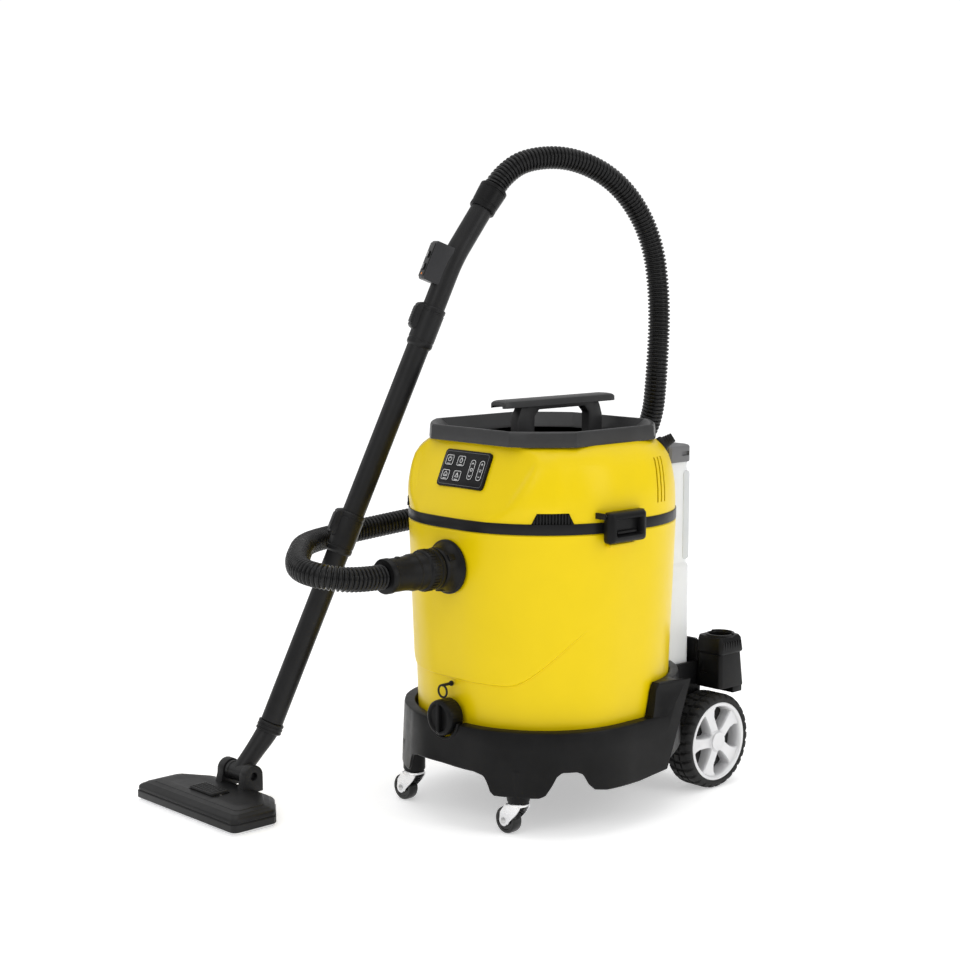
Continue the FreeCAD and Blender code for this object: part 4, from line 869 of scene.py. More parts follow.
def top_tray():
    """The tray round the handle: chamfered rim, flared walls and a floor with raised dots."""
    steps = [(151.8, 563.0), (152.0, 565), (151.2, 581), (150.6, 583.4), (149.4, 584.8), (148, 585),
             (145.6, 585), (144.6, 584.4), (143.8, 583), (132, 568), (130, 564), (129.2, 556),
             (128.4, 552.4), (126.4, 550)]
    rings = [tray_ring(half, z) for half, z in steps]
    rings.append(tray_ring(100, 549.4))
    under = [tray_ring(half, z) for half, z in ((100, 545), (131, 545), (132, 547), (132, 563))]
    piece("tray_rim", loft(rings + under, closed=False), tray_grey, "head", ("top_tray",), limit=24)
    floor = [tray_ring(127, z) for z in (545.2, 549.5)]
    piece("tray_floor", loft(floor), tray_grey, "head")
    dots = []
    pitch = 10
    for row in range(-12, 13):
        for column in range(-12, 13):
            x, y = column * pitch, row * pitch
            corner = math.hypot(max(abs(x) - 42, 0), max(abs(y) - 42, 0))
            if abs(x) > 122 or abs(y) > 122 or corner > 80 or (abs(x) < 13 and -66 < y < 130):
                continue
            dot = lathe([(2.4, 549.2), (2.1, 550.2), (1.0, 550.8)], 10)
            dots.append(moved(dot, shift(x, y)))
    piece("tray_dots", merge(*dots), tray_grey, "head")


def handle():
    """A wide plate with turned-down edges on two legs, with a finger gap between them."""
    y0, y1 = low("carry_handle").y, high("carry_handle").y
    top = high("carry_handle").z
    rings = []
    for y, width, drop in ((y0, 13, 5), (y0 + 2, 15.4, 2.4), (y0 + 6, 16.8, 0.8), (y0 + 14, 17.8, 0),
                           (y1 - 14, 17.8, 0), (y1 - 6, 16.8, 0.8), (y1 - 2, 15.4, 2.4), (y1, 13, 5)):
        ring = []
        edge = top - 12
        for x, z in ((-1, edge + 0.6), (-0.99, top - 4.2), (-0.93, top - 2.2), (-0.8, top - 1.0),
                     (-0.4, top - 0.2), (0, top), (0.4, top - 0.2), (0.8, top - 1.0), (0.93, top - 2.2),
                     (0.99, top - 4.2), (1, edge + 0.6), (0.96, edge), (0.88, edge), (0.84, top - 6),
                     (0.4, top - 5), (-0.4, top - 5), (-0.84, top - 6), (-0.88, edge), (-0.96, edge)):
            ring.append((x * width, y, z - drop * (z - edge) / 12))
        rings.append(ring)
    piece("handle_plate", loft(rings), tray_grey, "head", ("carry_handle",), limit=30)
    outline = [(-60, 549.3), (-60, 590), (-54, 604), (-46, 617), (112, 617), (119, 604), (124, 590),
               (124, 549.3), (88, 549.3), (94, 562), (94, 594), (84, 604), (-14, 604), (-24, 594),
               (-24, 562), (-18, 549.3)]
    turn = ALONG_X
    piece("handle_legs", moved(prism(outline, -8, 8), turn), tray_grey, "head", bevel=2)
    foot = moved(prism([(-22, 549.3), (92, 549.3), (92, 559), (-22, 559)], -7, 7), turn)
    piece("handle_foot", foot, tray_grey, "head", bevel=1.5)


def latch(name, side):
    """A pull-out latch: bevelled frame, deep finger recess, and a lip at its foot."""
    box_low, box_high = low(f"latch_{name}"), high(f"latch_{name}")
    mid_y = (box_low.y + box_high.y) / 2
    foot, top = 428, 473
    inner = 196
    rings = []
    for out, grow, corner in ((0, -1.5, 4), (2, 0, 5), (11, 0, 5), (15, -1.6, 5), (17.2, -4.2, 4.4),
                              (18, -6.4, 4), (18, -9.4, 3.4), (16.4, -10.6, 3), (7, -12.4, 2.4)):
        outline = rounded(76 + 2 * grow, (top - foot) + 2 * grow, corner, 5)
        rings.append([(side * (inner + out), mid_y + y, (foot + top) / 2 + z) for y, z in outline])
    body = f"latch_{name}"
    piece(f"latch_frame_{name}", loft(rings), black, body, (f"latch_{name}",), limit=40)
    x0, x1 = sorted((side * (inner + 6), side * (inner + 12)))
    grip = block(x0, x1, mid_y - 20, mid_y + 20, foot + 13, foot + 17)
    piece(f"latch_grip_{name}", grip, black, body, bevel=1.2)
    pin = lathe([(1.6, -41), (2.5, -40), (2.5, 40), (1.6, 41)], 24)
    piece(f"latch_pin_{name}", pin, steel, body,
          place=axes((side * 200, mid_y, 468), (0, 1, 0)))


head_cover()
grilles()
ears()
top_tray()
handle()
latch("left", -1)
latch("right", 1)
refined("head_base", band_black, 0.8)

# ---- Control panel -------------------------------------------------------------------------------

panel_place = axes(FACE_POINT, -PRESS, (1, 0, 0))


def outline_ring(width, height, corner, line, z):
    """A raised printed outline: the gap between two rounded rectangles."""
    outer = rounded(width, height, corner, 5)
    inner = rounded(width - 2 * line, height - 2 * line, max(corner - line, 0.3), 5)
    count = len(outer)
    points = [(x, y, z) for x, y in outer] + [(x, y, z) for x, y in inner]
    points += [(x, y, z - 0.2) for x, y in outer] + [(x, y, z - 0.2) for x, y in inner]
    faces = []
    for i in range(count):
        j = (i + 1) % count
        faces += [[i, j, count + j, count + i],
                  [2 * count + j, 2 * count + i, 3 * count + i, 3 * count + j],
                  [j, i, 2 * count + i, 2 * count + j],
                  [count + i, count + j, 3 * count + j, 3 * count + i]]
    return points, faces


def stroke(points, width, z, closed=False):
    """A printed line through points, as thin raised bars."""
    bars = []
    pairs = list(zip(points, points[1:]))
    if closed:
        pairs.append((points[-1], points[0]))
    for (x0, y0), (x1, y1) in pairs:
        run = Vector((x1 - x0, y1 - y0, 0))
        side = Vector((-run.y, run.x, 0)).normalized() * width / 2
        start, stop = Vector((x0, y0, 0)), Vector((x1, y1, 0))
        ring = [start - side, stop - side, stop + side, start + side]
        bars.append(loft([[(p.x, p.y, z - 0.2) for p in ring], [(p.x, p.y, z) for p in ring]]))
    return merge(*bars)


ICONS = {
    "key_top_left": [arc(0, 0, 3.6, 125, 415, 16), [(0, 1.2), (0, 5)]],
    "key_bottom_left": [[(-3.6, -3.6), (-3.6, 0.4), (0, 4), (3.6, 0.4), (3.6, -3.6), (-3.6, -3.6)],
                        [(-1.6, -1.6), (1.6, -1.6)]],
    "key_top_mid": [[(0, 4.4), (-2.8, 0), (-2.6, -2.4), (-1.2, -4),
                     (1.2, -4), (2.6, -2.4), (2.8, 0), (0, 4.4)]],
    "key_bottom_mid": [[(-4, -3.4), (0, 3.8), (4, -3.4), (-4, -3.4)], [(0, -0.6), (0, 1.2)]],
    "rocker_mid": [[(-2.6, 9), (0, 11.8), (2.6, 9)], [(-2.6, -9), (0, -11.8), (2.6, -9)],
                   arc(0, 0, 2.4, 0, 360, 16)],
    "rocker_right": [[(0, 8.4), (0, 12.4)], [(-2, 10.4), (2, 10.4)], [(-2, -10.4), (2, -10.4)],
                     [(-2.4, 1.4), (2.4, 1.4)], [(-2.4, -1.4), (2.4, -1.4)]],
}


def control_panel():
    plate = pad(97, 57, 6, -3, 2.5, 0.9)
    key_cuts = []
    for key in ICONS:
        centre = panel_place.inverted() @ middle(key)
        size = (12, 32) if key.startswith("rocker") else (17, 17)
        hole = [(centre.x + x, centre.y + y) for x, y in rounded(size[0] + 0.6, size[1] + 0.6, 3.2)]
        key_cuts.append(moved(prism(hole, -8, 8), panel_place))
    piece("panel_plate", plate, panel_black, "head", ("control_panel",),
          place=panel_place, cuts=key_cuts)
    border = outline_ring(91, 51, 4.4, 0.5, 2.56)
    piece("panel_border", border, grey, "head", place=panel_place)
    for key, icon in ICONS.items():
        centre = panel_place.inverted() @ middle(key)
        size = (12, 32) if key.startswith("rocker") else (17, 17)
        place = panel_place @ shift(centre.x, centre.y)
        cap = pad(size[0], size[1], 3, -1, 3, 0.6)
        piece(f"{key}_cap", cap, key_black, key, (key,), place=place)
        lines = [outline_ring(size[0] - 1.8, size[1] - 1.8, 2.6 if size[0] == 17 else 4.6, 0.62,
                              3.12)]
        scale = 0.92
        for run in icon:
            lines.append(stroke([(x * scale, y * scale + (1.2 if size[0] == 17 else 0)) for x,
                                 y in run], 0.75, 3.12))
        if size[0] == 17:
            lines.append(stroke([(-3.4, -5.7), (3.4, -5.7)], 0.7, 3.12))
        piece(f"{key}_print", merge(*lines), print_white, key, place=place)


control_panel()
refined("circuit_board", circuit_green, 0.2)
refined("motor_housing", inner_plastic, 1.5)
refined("vacuum_motor", steel, 1.0)
refined("impeller", steel, 0.5)
refined("float_cage", grey, 0.8)
refined("shutoff_float", inner_plastic, 1.0)

GLAND = [(5, 0), (12, 0), (12, 6.4), (11, 8), (9.6, 9), (9, 11), (9.2, 12.4), (8.3, 13.4),
         (8.6, 15.8), (7.8, 16.8), (8.1, 19.2), (7.3, 20.2), (7.4, 23), (6.6, 24), (5, 24)]
piece("gland_boot", lathe(GLAND, 48, closed=True), soft_rubber, "head", ("cord_gland",),
      place=gland_place())

# ---- Clean-water tank and tool holder ------------------------------------------------------------


def tank_outline(inset, z):
    """Section of the clean-water tank: a rounded box hollowed in front to follow the drum."""
    half_x, front, back = 100 - inset, 178 + inset, 235 - inset
    corner = 14
    drum = TOP_HALF + 3.5 + inset
    radius = drum - FLAT
    points = arc(half_x - corner, back - corner, corner, 0, 90, 8)
    points += arc(-half_x + corner, back - corner, corner, 90, 180, 8)
    side_y = FLAT + math.sqrt(max(radius ** 2 - (half_x - FLAT) ** 2, 0))
    side_y = max(side_y, front)
    points.append((-half_x, side_y + 5))
    points.append((-half_x + 3, side_y + 1.6))
    count = 14
    start = math.degrees(math.acos(min((half_x - 6 - FLAT) / radius, 1)))
    left = [(-x, y) for x, y in arc(FLAT, FLAT, radius, start, 90, count)]
    points += left
    points += arc(FLAT, FLAT, radius, 90, start, count)
    points.append((half_x - 3, side_y + 1.6))
    points.append((half_x, side_y + 5))
    return [(x, y, z) for x, y in points]


def clean_tank():
    foot, top = low("clean_water_tank").z, 514
    steps = [(7, foot), (3.4, foot + 1.2), (1.2, foot + 4), (0.2, foot + 9), (0, foot + 14), (0, 348),
             (0.6, 351), (2.2, 353.5), (2.4, 357), (2.4, 500), (2.8, 505), (2.8, top)]
    piece("clean_shell", loft([tank_outline(inset, z) for inset, z in steps]), milky, "clean_tank",
          ("clean_water_tank",), limit=30)
    strip = pad(14, 140, 5, -0.6, 0.7, 0.5)
    for side, name in ((1, "right"), (-1, "left")):
        place = axes((side * 97.6, 222, 430), (side, 0, 0), (0, side, 0))
        piece(f"clean_strip_{name}", strip, milky_strip, "clean_tank", place=place)
    ticks = [block(-8 if i % 2 else -13, 0, -0.5, 0.5, 0, 0.5) for i in range(9)]
    marks = merge(*[moved(tick, shift(0, 24 * i)) for i, tick in enumerate(ticks)])
    piece("level_marks", marks, grey, "clean_tank",
          place=axes((60, 232.5, 190), (0, 1, 0), (-1, 0, 0)))
    neck = [(13, 512), (15, 512), (15, 516), (16, 516.6), (15, 517.2), (15, 519), (16, 519.6),
            (15, 520.2), (15, 523), (14.4, 524), (13, 524)]
    piece("clean_neck", lathe(neck, 48, closed=True), milky, "clean_tank", place=shift(55, 216))
    lid_foot, lid_top = low("clean_tank_lid").z, high("clean_tank_lid").z
    steps = [(3.6, lid_foot + 0.3), (0.4, lid_foot), (0, lid_foot + 1.6), (0, lid_top - 4),
             (1.2, lid_top - 1.2), (4, lid_top)]
    piece("clean_cover", loft([tank_outline(inset, z) for inset, z in steps]), grey, "clean_lid",
          ("clean_tank_lid",), limit=30,
          cuts=[block(50, 80, 226, 246, 527, 533), block(-80, -50, 226, 246, 527, 533),
                block(96, 110, 208, 226, 524, 531)])
    refined("pickup_tube", milky_strip, 0.5)


def holder():
    """Tool holder behind the clean-water tank's corner, with a collar and a raised lip at the back."""
    x0, x1 = low("tool_holder").x, high("tool_holder").x
    y0, y1 = low("tool_holder").y, high("tool_holder").y
    foot, top = 157, high("tool_holder").z
    mid_x, mid_y = (x0 + x1) / 2, 266
    place = shift(mid_x, mid_y)
    socket = moved(lathe([(17.8, top - 78), (17.8, top + 6)], 48), place)
    rings = []
    for z, shrink in ((foot, 0.4), (foot + 1.5, 0), (top - 32, 3.4), (top - 30, 1.2), (top - 28, 0.6),
                      (top - 9, 2.6), (top - 6, 4), (top - 4, 5.2)):
        ring = rounded(x1 - x0 - shrink, y1 - y0 - 2 * shrink, 7, 6)
        rings.append([((x0 + x1 - shrink) / 2 + x, (y0 + y1) / 2 + y, z) for x, y in ring])
    slot = block(x0 + 10, x0 + 22, y0 - 1, y0 + 3, top - 62, top - 38)
    piece("holder_body", loft(rings), black, "root", ("tool_holder",),
          cuts=[socket, slot], limit=34)
    leg = block(x0, x1 - 3, 272, y1 - 2, 146, foot + 2)
    piece("holder_leg", leg, black, "root", bevel=2)
    collar = [(17.9, top - 6), (22.6, top - 6), (22.6, top - 2.6), (21.4, top - 1.6),
              (18.8, top - 1.6)]
    piece("holder_lip", moved(lathe(collar, 48, closed=True), place), band_black, "root")
    clip = [(18.4, top - 6), (23.2, top - 6), (23.2, top - 0.8), (22.2, top), (19.4, top)]
    piece("holder_clip", moved(lathe(clip, 48, closed=True), place), band_black, "root",
          cuts=[block(x0 - 10, x1 + 10, y0 - 10, mid_y + 6, top - 8, top + 4)])
    ribs = []
    for index in range(8):
        y = y0 + 9 + index * 6
        ribs.append(block(x1 - 3.4, x1 - 0.9, y - 1, y + 1, top - 25, top - 12))
    piece("holder_ribs", merge(*ribs), band_black, "root")


clean_tank()
holder()
refined("water_pump", grey, 1.0)

# ---- Wand ----------------------------------------------------------------------------------------

swivel = JOINTS["elbow_swivel"]
WAND_FOOT = drawn(swivel["pos_m"])
WAND_ALONG = Vector(swivel["axis"]).normalized()
WAND_ABOVE = -Vector(JOINTS["release_upper_press"]["axis"]).normalized()
wand_place = axes(WAND_FOOT, WAND_ALONG, WAND_ABOVE)
SLEEVE_LENGTH, BUTTON_INSET = 62, 20.5


def on_wand(z):
    """A place on the wand's upper side: X along the wand, Z away from it."""
    return wand_place @ Matrix(((0, 0, 1, 0), (0, -1, 0, 0), (1, 0, 0, z), (0, 0, 0, 1)))


def wand_tube(name, start, length, sleeve):
    """A tube with its wider sleeve, rings at both ends and a seat for the release button."""
    end = sleeve + SLEEVE_LENGTH
    profile = [(15.5, start), (16.6, start), (17.5, start + 1), (17.5, sleeve - 3),
               (18.4, sleeve - 2.4), (20.0, sleeve), (20.5, sleeve + 1.4), (20.5, sleeve + 6),
               (19.9, sleeve + 6.6), (19.9, sleeve + 8.6), (20.5, sleeve + 9.2), (20.5, end - 9.2),
               (19.9, end - 8.6), (19.9, end - 6.6), (20.5, end - 6), (20.5, end - 1.4),
               (19.4, end), (17.8, end), (17.8, start + length), (15.5, start + length)]
    profile = [(r, min(z, end)) for r, z in profile]
    piece(f"{name}_tube", lathe(profile, 72, closed=True), wand_black, "root", (f"{name}_wand",),
          place=wand_place)
    mid = end - BUTTON_INSET
    seat = []
    for z, width, rise in ((mid - 23, 12, 18), (mid - 20, 17, 24.6), (mid - 17, 20, 26.8),
                           (mid + 17, 20, 26.8),
                           (mid + 20, 17, 24.6), (mid + 23, 12, 18)):
        seat.append([(x, y, z) for x, y in ((15, -width / 2), (rise - 2, -width / 2),
                                            (rise, -width / 2 + 2), (rise, width / 2 - 2),
                                            (rise - 2, width / 2), (15, width / 2))])
    hole = block(20.8, 40, -7.8, 7.8, mid - 13.8, mid + 13.8)
    piece(f"{name}_seat", loft(seat), wand_black, "root", place=wand_place,
          cuts=[moved(hole, wand_place), moved(lathe([(17.6, mid - 60), (17.6, mid + 60)], 48),
                                               wand_place)], limit=36)
    button = pad(27, 15, 3, 24.4, 28.8, 1.4)
    face_place = on_wand(mid)
    piece(f"{name}_button", button, wand_black, f"button_{name}", (f"release_button_{name}",),
          place=face_place)
    ridges = merge(*[block(x - 0.5, x + 0.5, -5, 5, 28.2, 29.3) for x in (-6, -2, 2, 6)])
    piece(f"{name}_ridges", ridges, wand_black, f"button_{name}", place=face_place)


def sweep(points, radii, count=48, ends=False):
    """Rings of given radius round a line of points, carried along without twist."""
    rings = []
    side = None
    for index, point in enumerate(points):
        ahead = points[min(index + 1, len(points) - 1)]
        behind = points[max(index - 1, 0)]
        along = (Vector(ahead) - Vector(behind)).normalized()
        if side is None:
            side = along.orthogonal().normalized()
        side = (side - along * side.dot(along)).normalized()
        other = along.cross(side)
        ring = []
        for step in range(count):
            turn = 2 * math.pi * step / count
            ring.append(Vector(point) + (side * math.cos(turn) + other * math.sin(turn)) * radii[index])
        rings.append(ring)
    return loft(rings, ends)


def grip():
    bend = 765.7
    tip = Vector((-138.6, 31, 937))
    turn_point = wand_place @ Vector((0, 0, bend))
    lean = (tip - turn_point).normalized()
    straight = [wand_place @ Vector((0, 0, z)) for z in (640, 642, 660, 700, bend - 24)]
    curve = []
    start = wand_place @ Vector((0, 0, bend - 24))
    stop = turn_point + lean * 24
    for step in range(1, 8):
        t = step / 8
        curve.append(start.lerp(turn_point, t).lerp(turn_point.lerp(stop, t), t))
    last = [turn_point + lean * d for d in (24, 60, 98)]
    line = straight + curve + last
    outer = [16.6] + [17.5] * (len(line) - 1)
    piece("grip_tube", sweep(line, outer, ends=True), wand_black, "root", ("wand_grip",))
    collar = [(17.4, 636), (18.6, 636), (19.4, 637), (19.4, 646), (18.6, 647.4), (17.4, 648)]
    piece("grip_collar", lathe(collar, 64, closed=True), wand_black, "root", place=wand_place)
    foot = bend - 48
    rings = []
    for z, rise, width in ((foot, 35.4, 30), (foot + 4, 37.5, 32), (foot + 58, 37.5, 32),
                           (foot + 62, 35.6, 30)):
        half = width / 2
        rings.append([(x, y, z) for x, y in ((6, -half + 2), (rise - 4, -half),
                                             (rise - 1, -half + 1), (rise, -half + 3.4),
                                             (rise, half - 3.4), (rise - 1, half - 1),
                                             (rise - 4, half), (6, half - 2))])
    key_cuts = [moved(block(30, 44, -5.8, 5.8, foot + 13.2 + 20 * i, foot + 24.8 + 20 * i),
                      wand_place) for i in (0, 1)]
    piece("remote_shell", loft(rings), remote_grey, "root", ("remote_box",), place=wand_place,
          limit=36, cuts=key_cuts)
    face_place = on_wand(foot + 31)
    face = pad(56, 27, 3.4, 37.2, 38.0, 0.4)
    face_cuts = key_cuts + [moved(moved(lathe([(2.1, 30), (2.1, 45)], 24), shift(-23, 0)),
                                  face_place)]
    piece("remote_face", face, panel_black, "root", place=face_place, cuts=face_cuts)
    lamp = moved(lathe([(2.0, 36.8), (2.0, 38.1), (1.2, 38.7)], 24), shift(-23, 0))
    piece("remote_lamp", lamp, lamp_orange, "root", place=face_place)
    for label, index in (("low", 0), ("high", 1)):
        centre = foot + 19 + 20 * index - (foot + 31)
        key = moved(pad(11, 11, 3.6, 36.9, 40.4, 1.0), shift(centre, 0))
        piece(f"remote_cap_{label}", key, key_black, f"remote_{label}", (f"remote_key_{label}",),
              place=face_place)
        square = outline_ring(7.6, 7.6, 2.6, 0.5, 40.55)
        dash = stroke([(-1.6, 0), (1.6, 0)], 0.7, 40.55)
        mark = moved(merge(square, dash), shift(centre, 0))
        piece(f"remote_print_{label}", mark, print_white, f"remote_{label}", place=face_place)
    place = axes(tip, lean, WAND_ABOVE)
    cuff = [(17.6, -42), (19.6, -42), (21, -40.4), (21, -34), (20.3, -33.2), (20.3, -31.4),
            (21, -30.6), (22.3, -9), (21.4, -8.2), (21.4, -6.4), (22.5, -5.6), (22.5, -1.2),
            (21.4, 0), (17.6, 0)]
    piece("cuff_sleeve", lathe(cuff, 72, closed=True), black, "root", ("hose_cuff",), place=place)


wand_tube("lower", 0, 290, 282)
wand_tube("upper", 295, 335, 622)
grip()

# ---- Floor nozzle --------------------------------------------------------------------------------


def nozzle_ring(grow, z):
    """Outline of the nozzle seen from above: square in front, cut back at its rear corners."""
    half_x, half_y = 128.5 + grow, 57.5 + grow
    cut_x, cut_y = 52 + grow * 0.6, 38 + grow * 0.6
    corner = 9
    points = arc(-half_x + corner, -half_y + corner, corner, 180, 270, 5)
    points += arc(half_x - corner, -half_y + corner, corner, 270, 360, 5)
    points += [(half_x, half_y - cut_y - 4), (half_x - 3, half_y - cut_y + 2),
               (half_x - cut_x + 4, half_y - 3), (half_x - cut_x - 4, half_y)]
    points += [(-half_x + cut_x + 4, half_y), (-half_x + cut_x - 4, half_y - 3),
               (-half_x + 3, half_y - cut_y + 2), (-half_x, half_y - cut_y - 4)]
    return [(x, y, z) for x, y in points]


def nozzle():
    mid = middle("nozzle_body")
    centre = shift(mid.x, low("nozzle_body").y + 57.5)
    pivot = drawn(JOINTS["nozzle_pitch"]["pos_m"])
    dy = pivot.y - (low("nozzle_body").y + 57.5)
    steps = [(-1.6, 5.5), (0, 6.4), (0, 16), (-0.6, 17.2), (-1.8, 17.8), (-1.8, 19), (-1.0, 19.8),
             (-1.4, 23.4), (-2.4, 25.2), (-4.6, 26.8), (-9, 28.8), (-10, 29.8), (-18, 31.6),
             (-19, 32.6), (-30, 34)]
    rings = [nozzle_ring(grow, z) for grow, z in steps]
    rings.append(nozzle_ring(-36, 33.2))
    shell = loft(rings)
    hollow = moved(block(-112, 112, -44, 20, 4, 14), centre)
    cuts = [hollow, moved(block(-31, 31, -27, 7, 26, 60), centre),
            moved(moved(lathe([(18.5, -20.6), (18.5, 20.6)], 48), axes((0, dy, 51), (1, 0, 0))),
                  centre)]
    piece("nozzle_cover", shell, wand_black, "nozzle", ("nozzle_body",), place=centre,
          cuts=cuts, limit=26)
    saddles = []
    for side in (-1, 1):
        outline = [(dy - 26, 24), (dy - 20, 36), (dy - 17, 47)] + arc(dy, 51, 17, 167, 13, 12) + \
            [(dy + 17, 47), (dy + 17, 26)]
        x0, x1 = sorted((side * 20.8, side * 36))
        saddles.append(moved(prism(outline, x0, x1), ALONG_X))
    bore = moved(moved(lathe([(6.1, -60), (6.1, 60)], 32), axes((0, dy, 51), (1, 0, 0))), centre)
    piece("nozzle_saddle", merge(*saddles), wand_black, "nozzle", place=centre,
          bevel=1.4, cuts=[bore])
    nose = block(-112, 112, -56.9, -55.2, 8, 14)
    piece("nozzle_bumper", nose, soft_rubber, "nozzle", place=centre, bevel=0.8)
    slots = [block(-106, 106, way * 24 - 3, way * 24 + 3, 0, 9) for way in (-1, 1)]
    slots.append(block(-105, 105, -8, 8, 0, 9))
    plate = loft([nozzle_ring(grow, z) for grow, z in ((-3.6, 1.5), (-2.8, 2.1), (-2.8, 5.4))])
    piece("sole_sheet", plate, sole_metal, "nozzle", ("sole_plate",), place=centre,
          cuts=[moved(slot, centre) for slot in slots])
    refined("brush_strips", bristle_black, 0)
    tufts = []
    for way in (-24, 24):
        for index in range(52):
            x = -103 + index * 4.04
            tufts.append(moved(lathe([(1.5, 0.05), (1.2, 3), (1.0, 6.5)], 8), shift(x, way)))
    piece("brush_tufts", merge(*tufts), bristle_black, "brush", place=centre)
    pedal = pad(59, 31, 3, 33.2, 38, 1.4)
    piece("pedal_plate", pedal, wand_black, "pedal", ("brush_pedal",), place=centre @ shift(0, -10))
    grid = [block(x - 0.7, x + 0.7, -13, 13, 37.6, 38.7) for x in range(-24, 25, 6)]
    grid += [block(-26, 26, y - 0.7, y + 0.7, 37.6, 38.6) for y in range(-10, 11, 5)]
    piece("pedal_grid", merge(*grid), wand_black, "pedal", place=centre @ shift(0, -10))
    axle = moved(lathe([(2.4, -32.4), (3, -31.6), (3, 31.6), (2.4, 32.4)], 24),
                 axes((0, -10, 30.5), (1, 0, 0)))
    piece("pedal_axle", axle, steel, "pedal", place=centre)


def elbow():
    """The swivel neck: a cross barrel in the saddle, a bent neck, and a ribbed collar for the wand."""
    pivot = drawn(JOINTS["nozzle_pitch"]["pos_m"])
    top = WAND_FOOT - WAND_ALONG * 14
    line = [pivot.lerp(top, t) for t in (0, 0.3, 0.55, 0.72)]
    start = pivot.lerp(top, 0.72)
    for step in range(1, 7):
        t = step / 7
        bend = start.lerp(top, t).lerp(top.lerp(WAND_FOOT - WAND_ALONG * 3, t), t)
        line.append(bend)
    line.append(WAND_FOOT - WAND_ALONG * 3)
    radii = [14.2, 14.4, 15, 15.8] + [16.2 + 0.25 * i for i in range(6)] + [18]
    piece("elbow_neck", sweep(line, radii, ends=True), wand_black, "elbow", ("nozzle_elbow",))
    collar = [(14, -16), (18.8, -16), (20.2, -15), (20.2, -12.4), (19.3, -11.8), (19.3, -10.4),
              (20.2, -9.8), (20.2, -6.6), (19.3, -6), (19.3, -4.6), (20.2, -4), (20.2, -1.4),
              (19.4, -0.4), (15.1, -0.4), (15.1, 25), (14, 26)]
    piece("elbow_collar", lathe(collar, 64, closed=True), wand_black, "elbow", place=wand_place)
    barrel = [(4.4, -30), (6, -29.2), (6, -20), (13.4, -20), (15, -18.6), (15, -13), (14, -12.2),
              (14, 12.2), (15, 13), (15, 18.6), (13.4, 20), (6, 20), (6, 29.2), (4.4, 30)]
    piece("elbow_barrel", lathe(barrel, 48), wand_black, "elbow", place=axes(pivot, (1, 0, 0)))


nozzle()
elbow()

# ---- Hose ----------------------------------------------------------------------------------------

HOSE_ROUTE = [
    (0.1, -0.2386, 0.385), (0.1, -0.286, 0.385), (0.076, -0.326, 0.392), (0.028, -0.33, 0.396),
    (-0.028, -0.292, 0.398), (-0.09, -0.238, 0.397), (-0.15, -0.186, 0.394), (-0.191, -0.128, 0.392),
    (-0.2, -0.058, 0.395), (-0.184, 0.018, 0.404), (-0.168, 0.1, 0.413), (-0.162, 0.18, 0.42),
    (-0.15, 0.265, 0.43), (-0.098, 0.342, 0.446), (-0.02, 0.388, 0.482), (0.045, 0.392, 0.55),
    (0.066, 0.38, 0.65), (0.068, 0.383, 0.76), (0.061, 0.369, 0.866), (0.04, 0.317, 0.948),
    (0.008, 0.243, 0.988), (-0.022, 0.166, 0.985), (-0.0366, 0.1246, 0.9563),
    (-0.0385, 0.1115, 0.9377),
]
HOSE_RADIUS = 18
HOSE_PITCH = 6.2


def hose():
    """Corrugated suction hose that follows one smooth line from the inlet round to the wand."""
    curve = bpy.data.curves.new("hose_line", "CURVE")
    curve.dimensions = "3D"
    curve.resolution_u = 32
    spline = curve.splines.new("NURBS")
    spline.points.add(len(HOSE_ROUTE) - 1)
    for control, point in zip(spline.points, HOSE_ROUTE):
        control.co = (*point, 1)
    spline.order_u = 3
    spline.use_endpoint_u = True
    guide = bpy.data.objects.new("hose_line", curve)
    bpy.context.scene.collection.objects.link(guide)
    bpy.context.view_layer.update()
    traced = bpy.data.meshes.new_from_object(guide)
    line = [vertex.co.copy() for vertex in traced.vertices]
    bpy.data.objects.remove(guide)
    marks = [0.0]
    for before, after in zip(line, line[1:]):
        marks.append(marks[-1] + (after - before).length)
    length = marks[-1]
    turns = round(length / MM / HOSE_PITCH)
    per_turn = [(0, 0.83), (0.18, 0.97), (0.30, 1.0), (0.50, 1.0), (0.62, 0.97), (0.80, 0.83)]
    points, radii = [], []
    index = 0
    for turn in range(turns):
        for share, grow in per_turn:
            target = (turn + share) * length / turns
            while marks[index + 1] < target:
                index += 1
            local = (target - marks[index]) / (marks[index + 1] - marks[index])
            points.append(line[index].lerp(line[index + 1], local))
            radii.append(HOSE_RADIUS * MM * grow)
    points.append(line[-1])
    radii.append(HOSE_RADIUS * MM * 0.83)
    shape = sweep(points, radii, 32, ends=True)
    shape = [drawn(point) for point in shape[0]], shape[1]
    tube = piece("hose_tube", shape, hose_black, "root", ("hose",), limit=50)


hose()

# ---- Floor, light and camera ---------------------------------------------------------------------


def floor():
    mesh = bpy.data.meshes.new("floor")
    bm = bmesh.new()
    bmesh.ops.create_grid(bm, x_segments=1, y_segments=1, size=60)
    bm.to_mesh(mesh)
    bm.free()
    item = bpy.data.objects.new("floor", mesh)
    bpy.context.scene.collection.objects.link(item)
    pale = finish("pale_floor", (0.90, 0.90, 0.90), 0.6, 0.04, grain=3, depth=0.01, tone=0.01,
                  specular=0.1)
    shader = pale.node_tree.nodes["Principled BSDF"]
    shader.inputs["Emission Color"].default_value = (1, 1, 1, 1)
    shader.inputs["Emission Strength"].default_value = 0.42
    item.data.materials.append(pale)


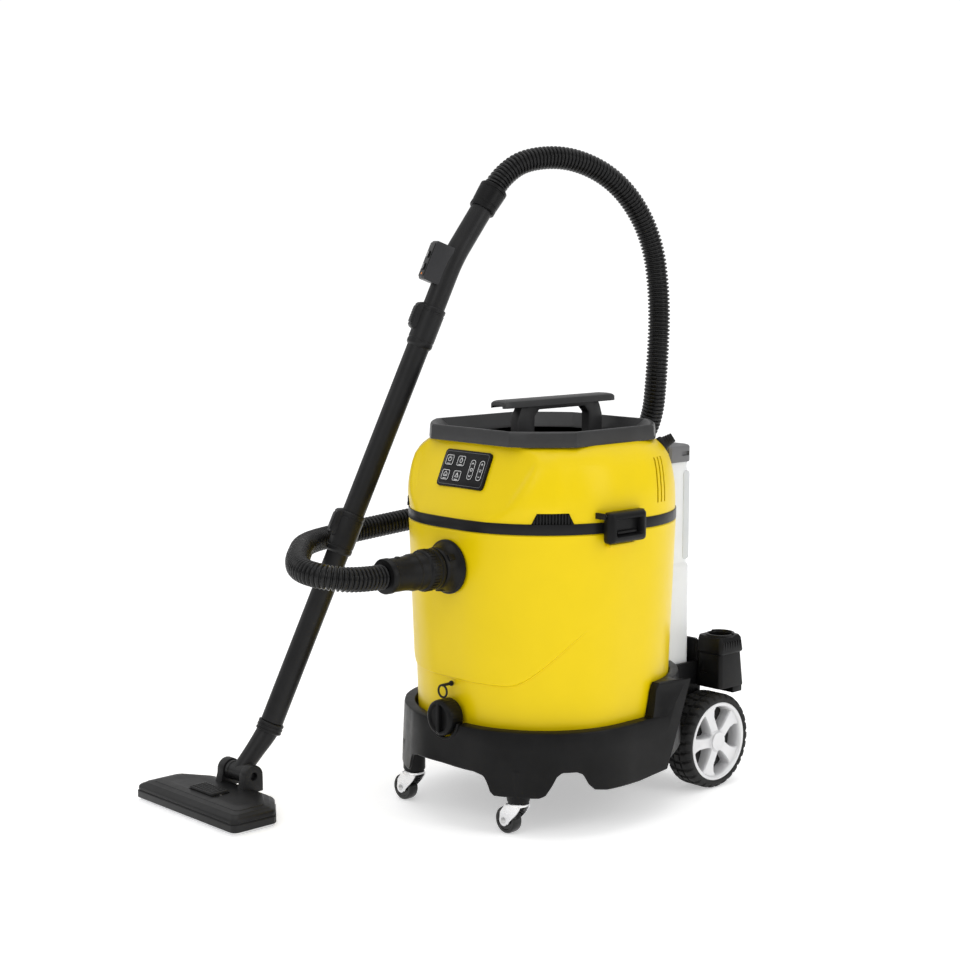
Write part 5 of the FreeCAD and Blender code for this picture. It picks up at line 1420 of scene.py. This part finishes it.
def lamp(name, place, target, size, power):
    light = bpy.data.lights.new(name, "AREA")
    light.shape = "RECTANGLE"
    light.size, light.size_y = size
    light.energy = power
    item = bpy.data.objects.new(name, light)
    bpy.context.scene.collection.objects.link(item)
    item.location = place
    item.rotation_mode = "QUATERNION"
    item.rotation_quaternion = (Vector(target) - Vector(place)).to_track_quat("-Z", "Y")


floor()
CENTRE = Vector((0.03, 0.0, 0.45))
lamp("key_light", (1.1, -2.6, 2.3), CENTRE, (1.6, 1.6), 12)
lamp("side_light", (2.6, 0.7, 1.5), CENTRE, (1.0, 2.0), 13)
lamp("fill_light", (-2.4, -1.4, 1.6), CENTRE, (1.4, 2.0), 5)
lamp("top_light", (0.0, 0.3, 3.0), CENTRE, (2.0, 2.0), 12)



def surround():
    """White behind the machine; the light it gives is soft overhead and dim at the horizon."""
    world = bpy.data.worlds.new("surround")
    world.use_nodes = True
    nodes, links = world.node_tree.nodes, world.node_tree.links
    sky = nodes["Background"]
    where = nodes.new("ShaderNodeTexCoord")
    split = nodes.new("ShaderNodeSeparateXYZ")
    ramp = nodes.new("ShaderNodeMapRange")
    ramp.inputs["From Min"].default_value = -0.1
    ramp.inputs["From Max"].default_value = 0.9
    ramp.inputs["To Min"].default_value = 0.30
    ramp.inputs["To Max"].default_value = 0.95
    backdrop = nodes.new("ShaderNodeBackground")
    backdrop.inputs["Strength"].default_value = 1.05
    backdrop.inputs["Color"].default_value = (1, 1, 1, 1)
    sky.inputs["Color"].default_value = (1, 1, 1, 1)
    path = nodes.new("ShaderNodeLightPath")
    blend = nodes.new("ShaderNodeMixShader")
    links.new(where.outputs["Generated"], split.inputs["Vector"])
    links.new(split.outputs["Z"], ramp.inputs["Value"])
    links.new(ramp.outputs["Result"], sky.inputs["Strength"])
    links.new(path.outputs["Is Camera Ray"], blend.inputs["Fac"])
    links.new(sky.outputs["Background"], blend.inputs[1])
    links.new(backdrop.outputs["Background"], blend.inputs[2])
    links.new(blend.outputs["Shader"], nodes["World Output"].inputs["Surface"])
    return world


world = surround()
bpy.context.scene.world = world
bpy.context.scene.view_settings.view_transform = "Standard"

camera_data = bpy.data.cameras.new("camera")
camera_data.lens = 69.17
camera_data.sensor_width = 36
camera = bpy.data.objects.new("camera", camera_data)
bpy.context.scene.collection.objects.link(camera)
CAMERA_TARGET = Vector((0.0352, 0.0112, 0.4952))
azimuth, elevation, distance = math.radians(46.72), math.radians(7.22), 2.806
back = Vector((math.sin(azimuth) * math.cos(elevation), -math.cos(azimuth) * math.cos(elevation),
               math.sin(elevation)))
camera.location = CAMERA_TARGET + back * distance
camera.rotation_mode = "QUATERNION"
camera.rotation_quaternion = (-back).to_track_quat("-Z", "Y")
bpy.context.scene.camera = camera
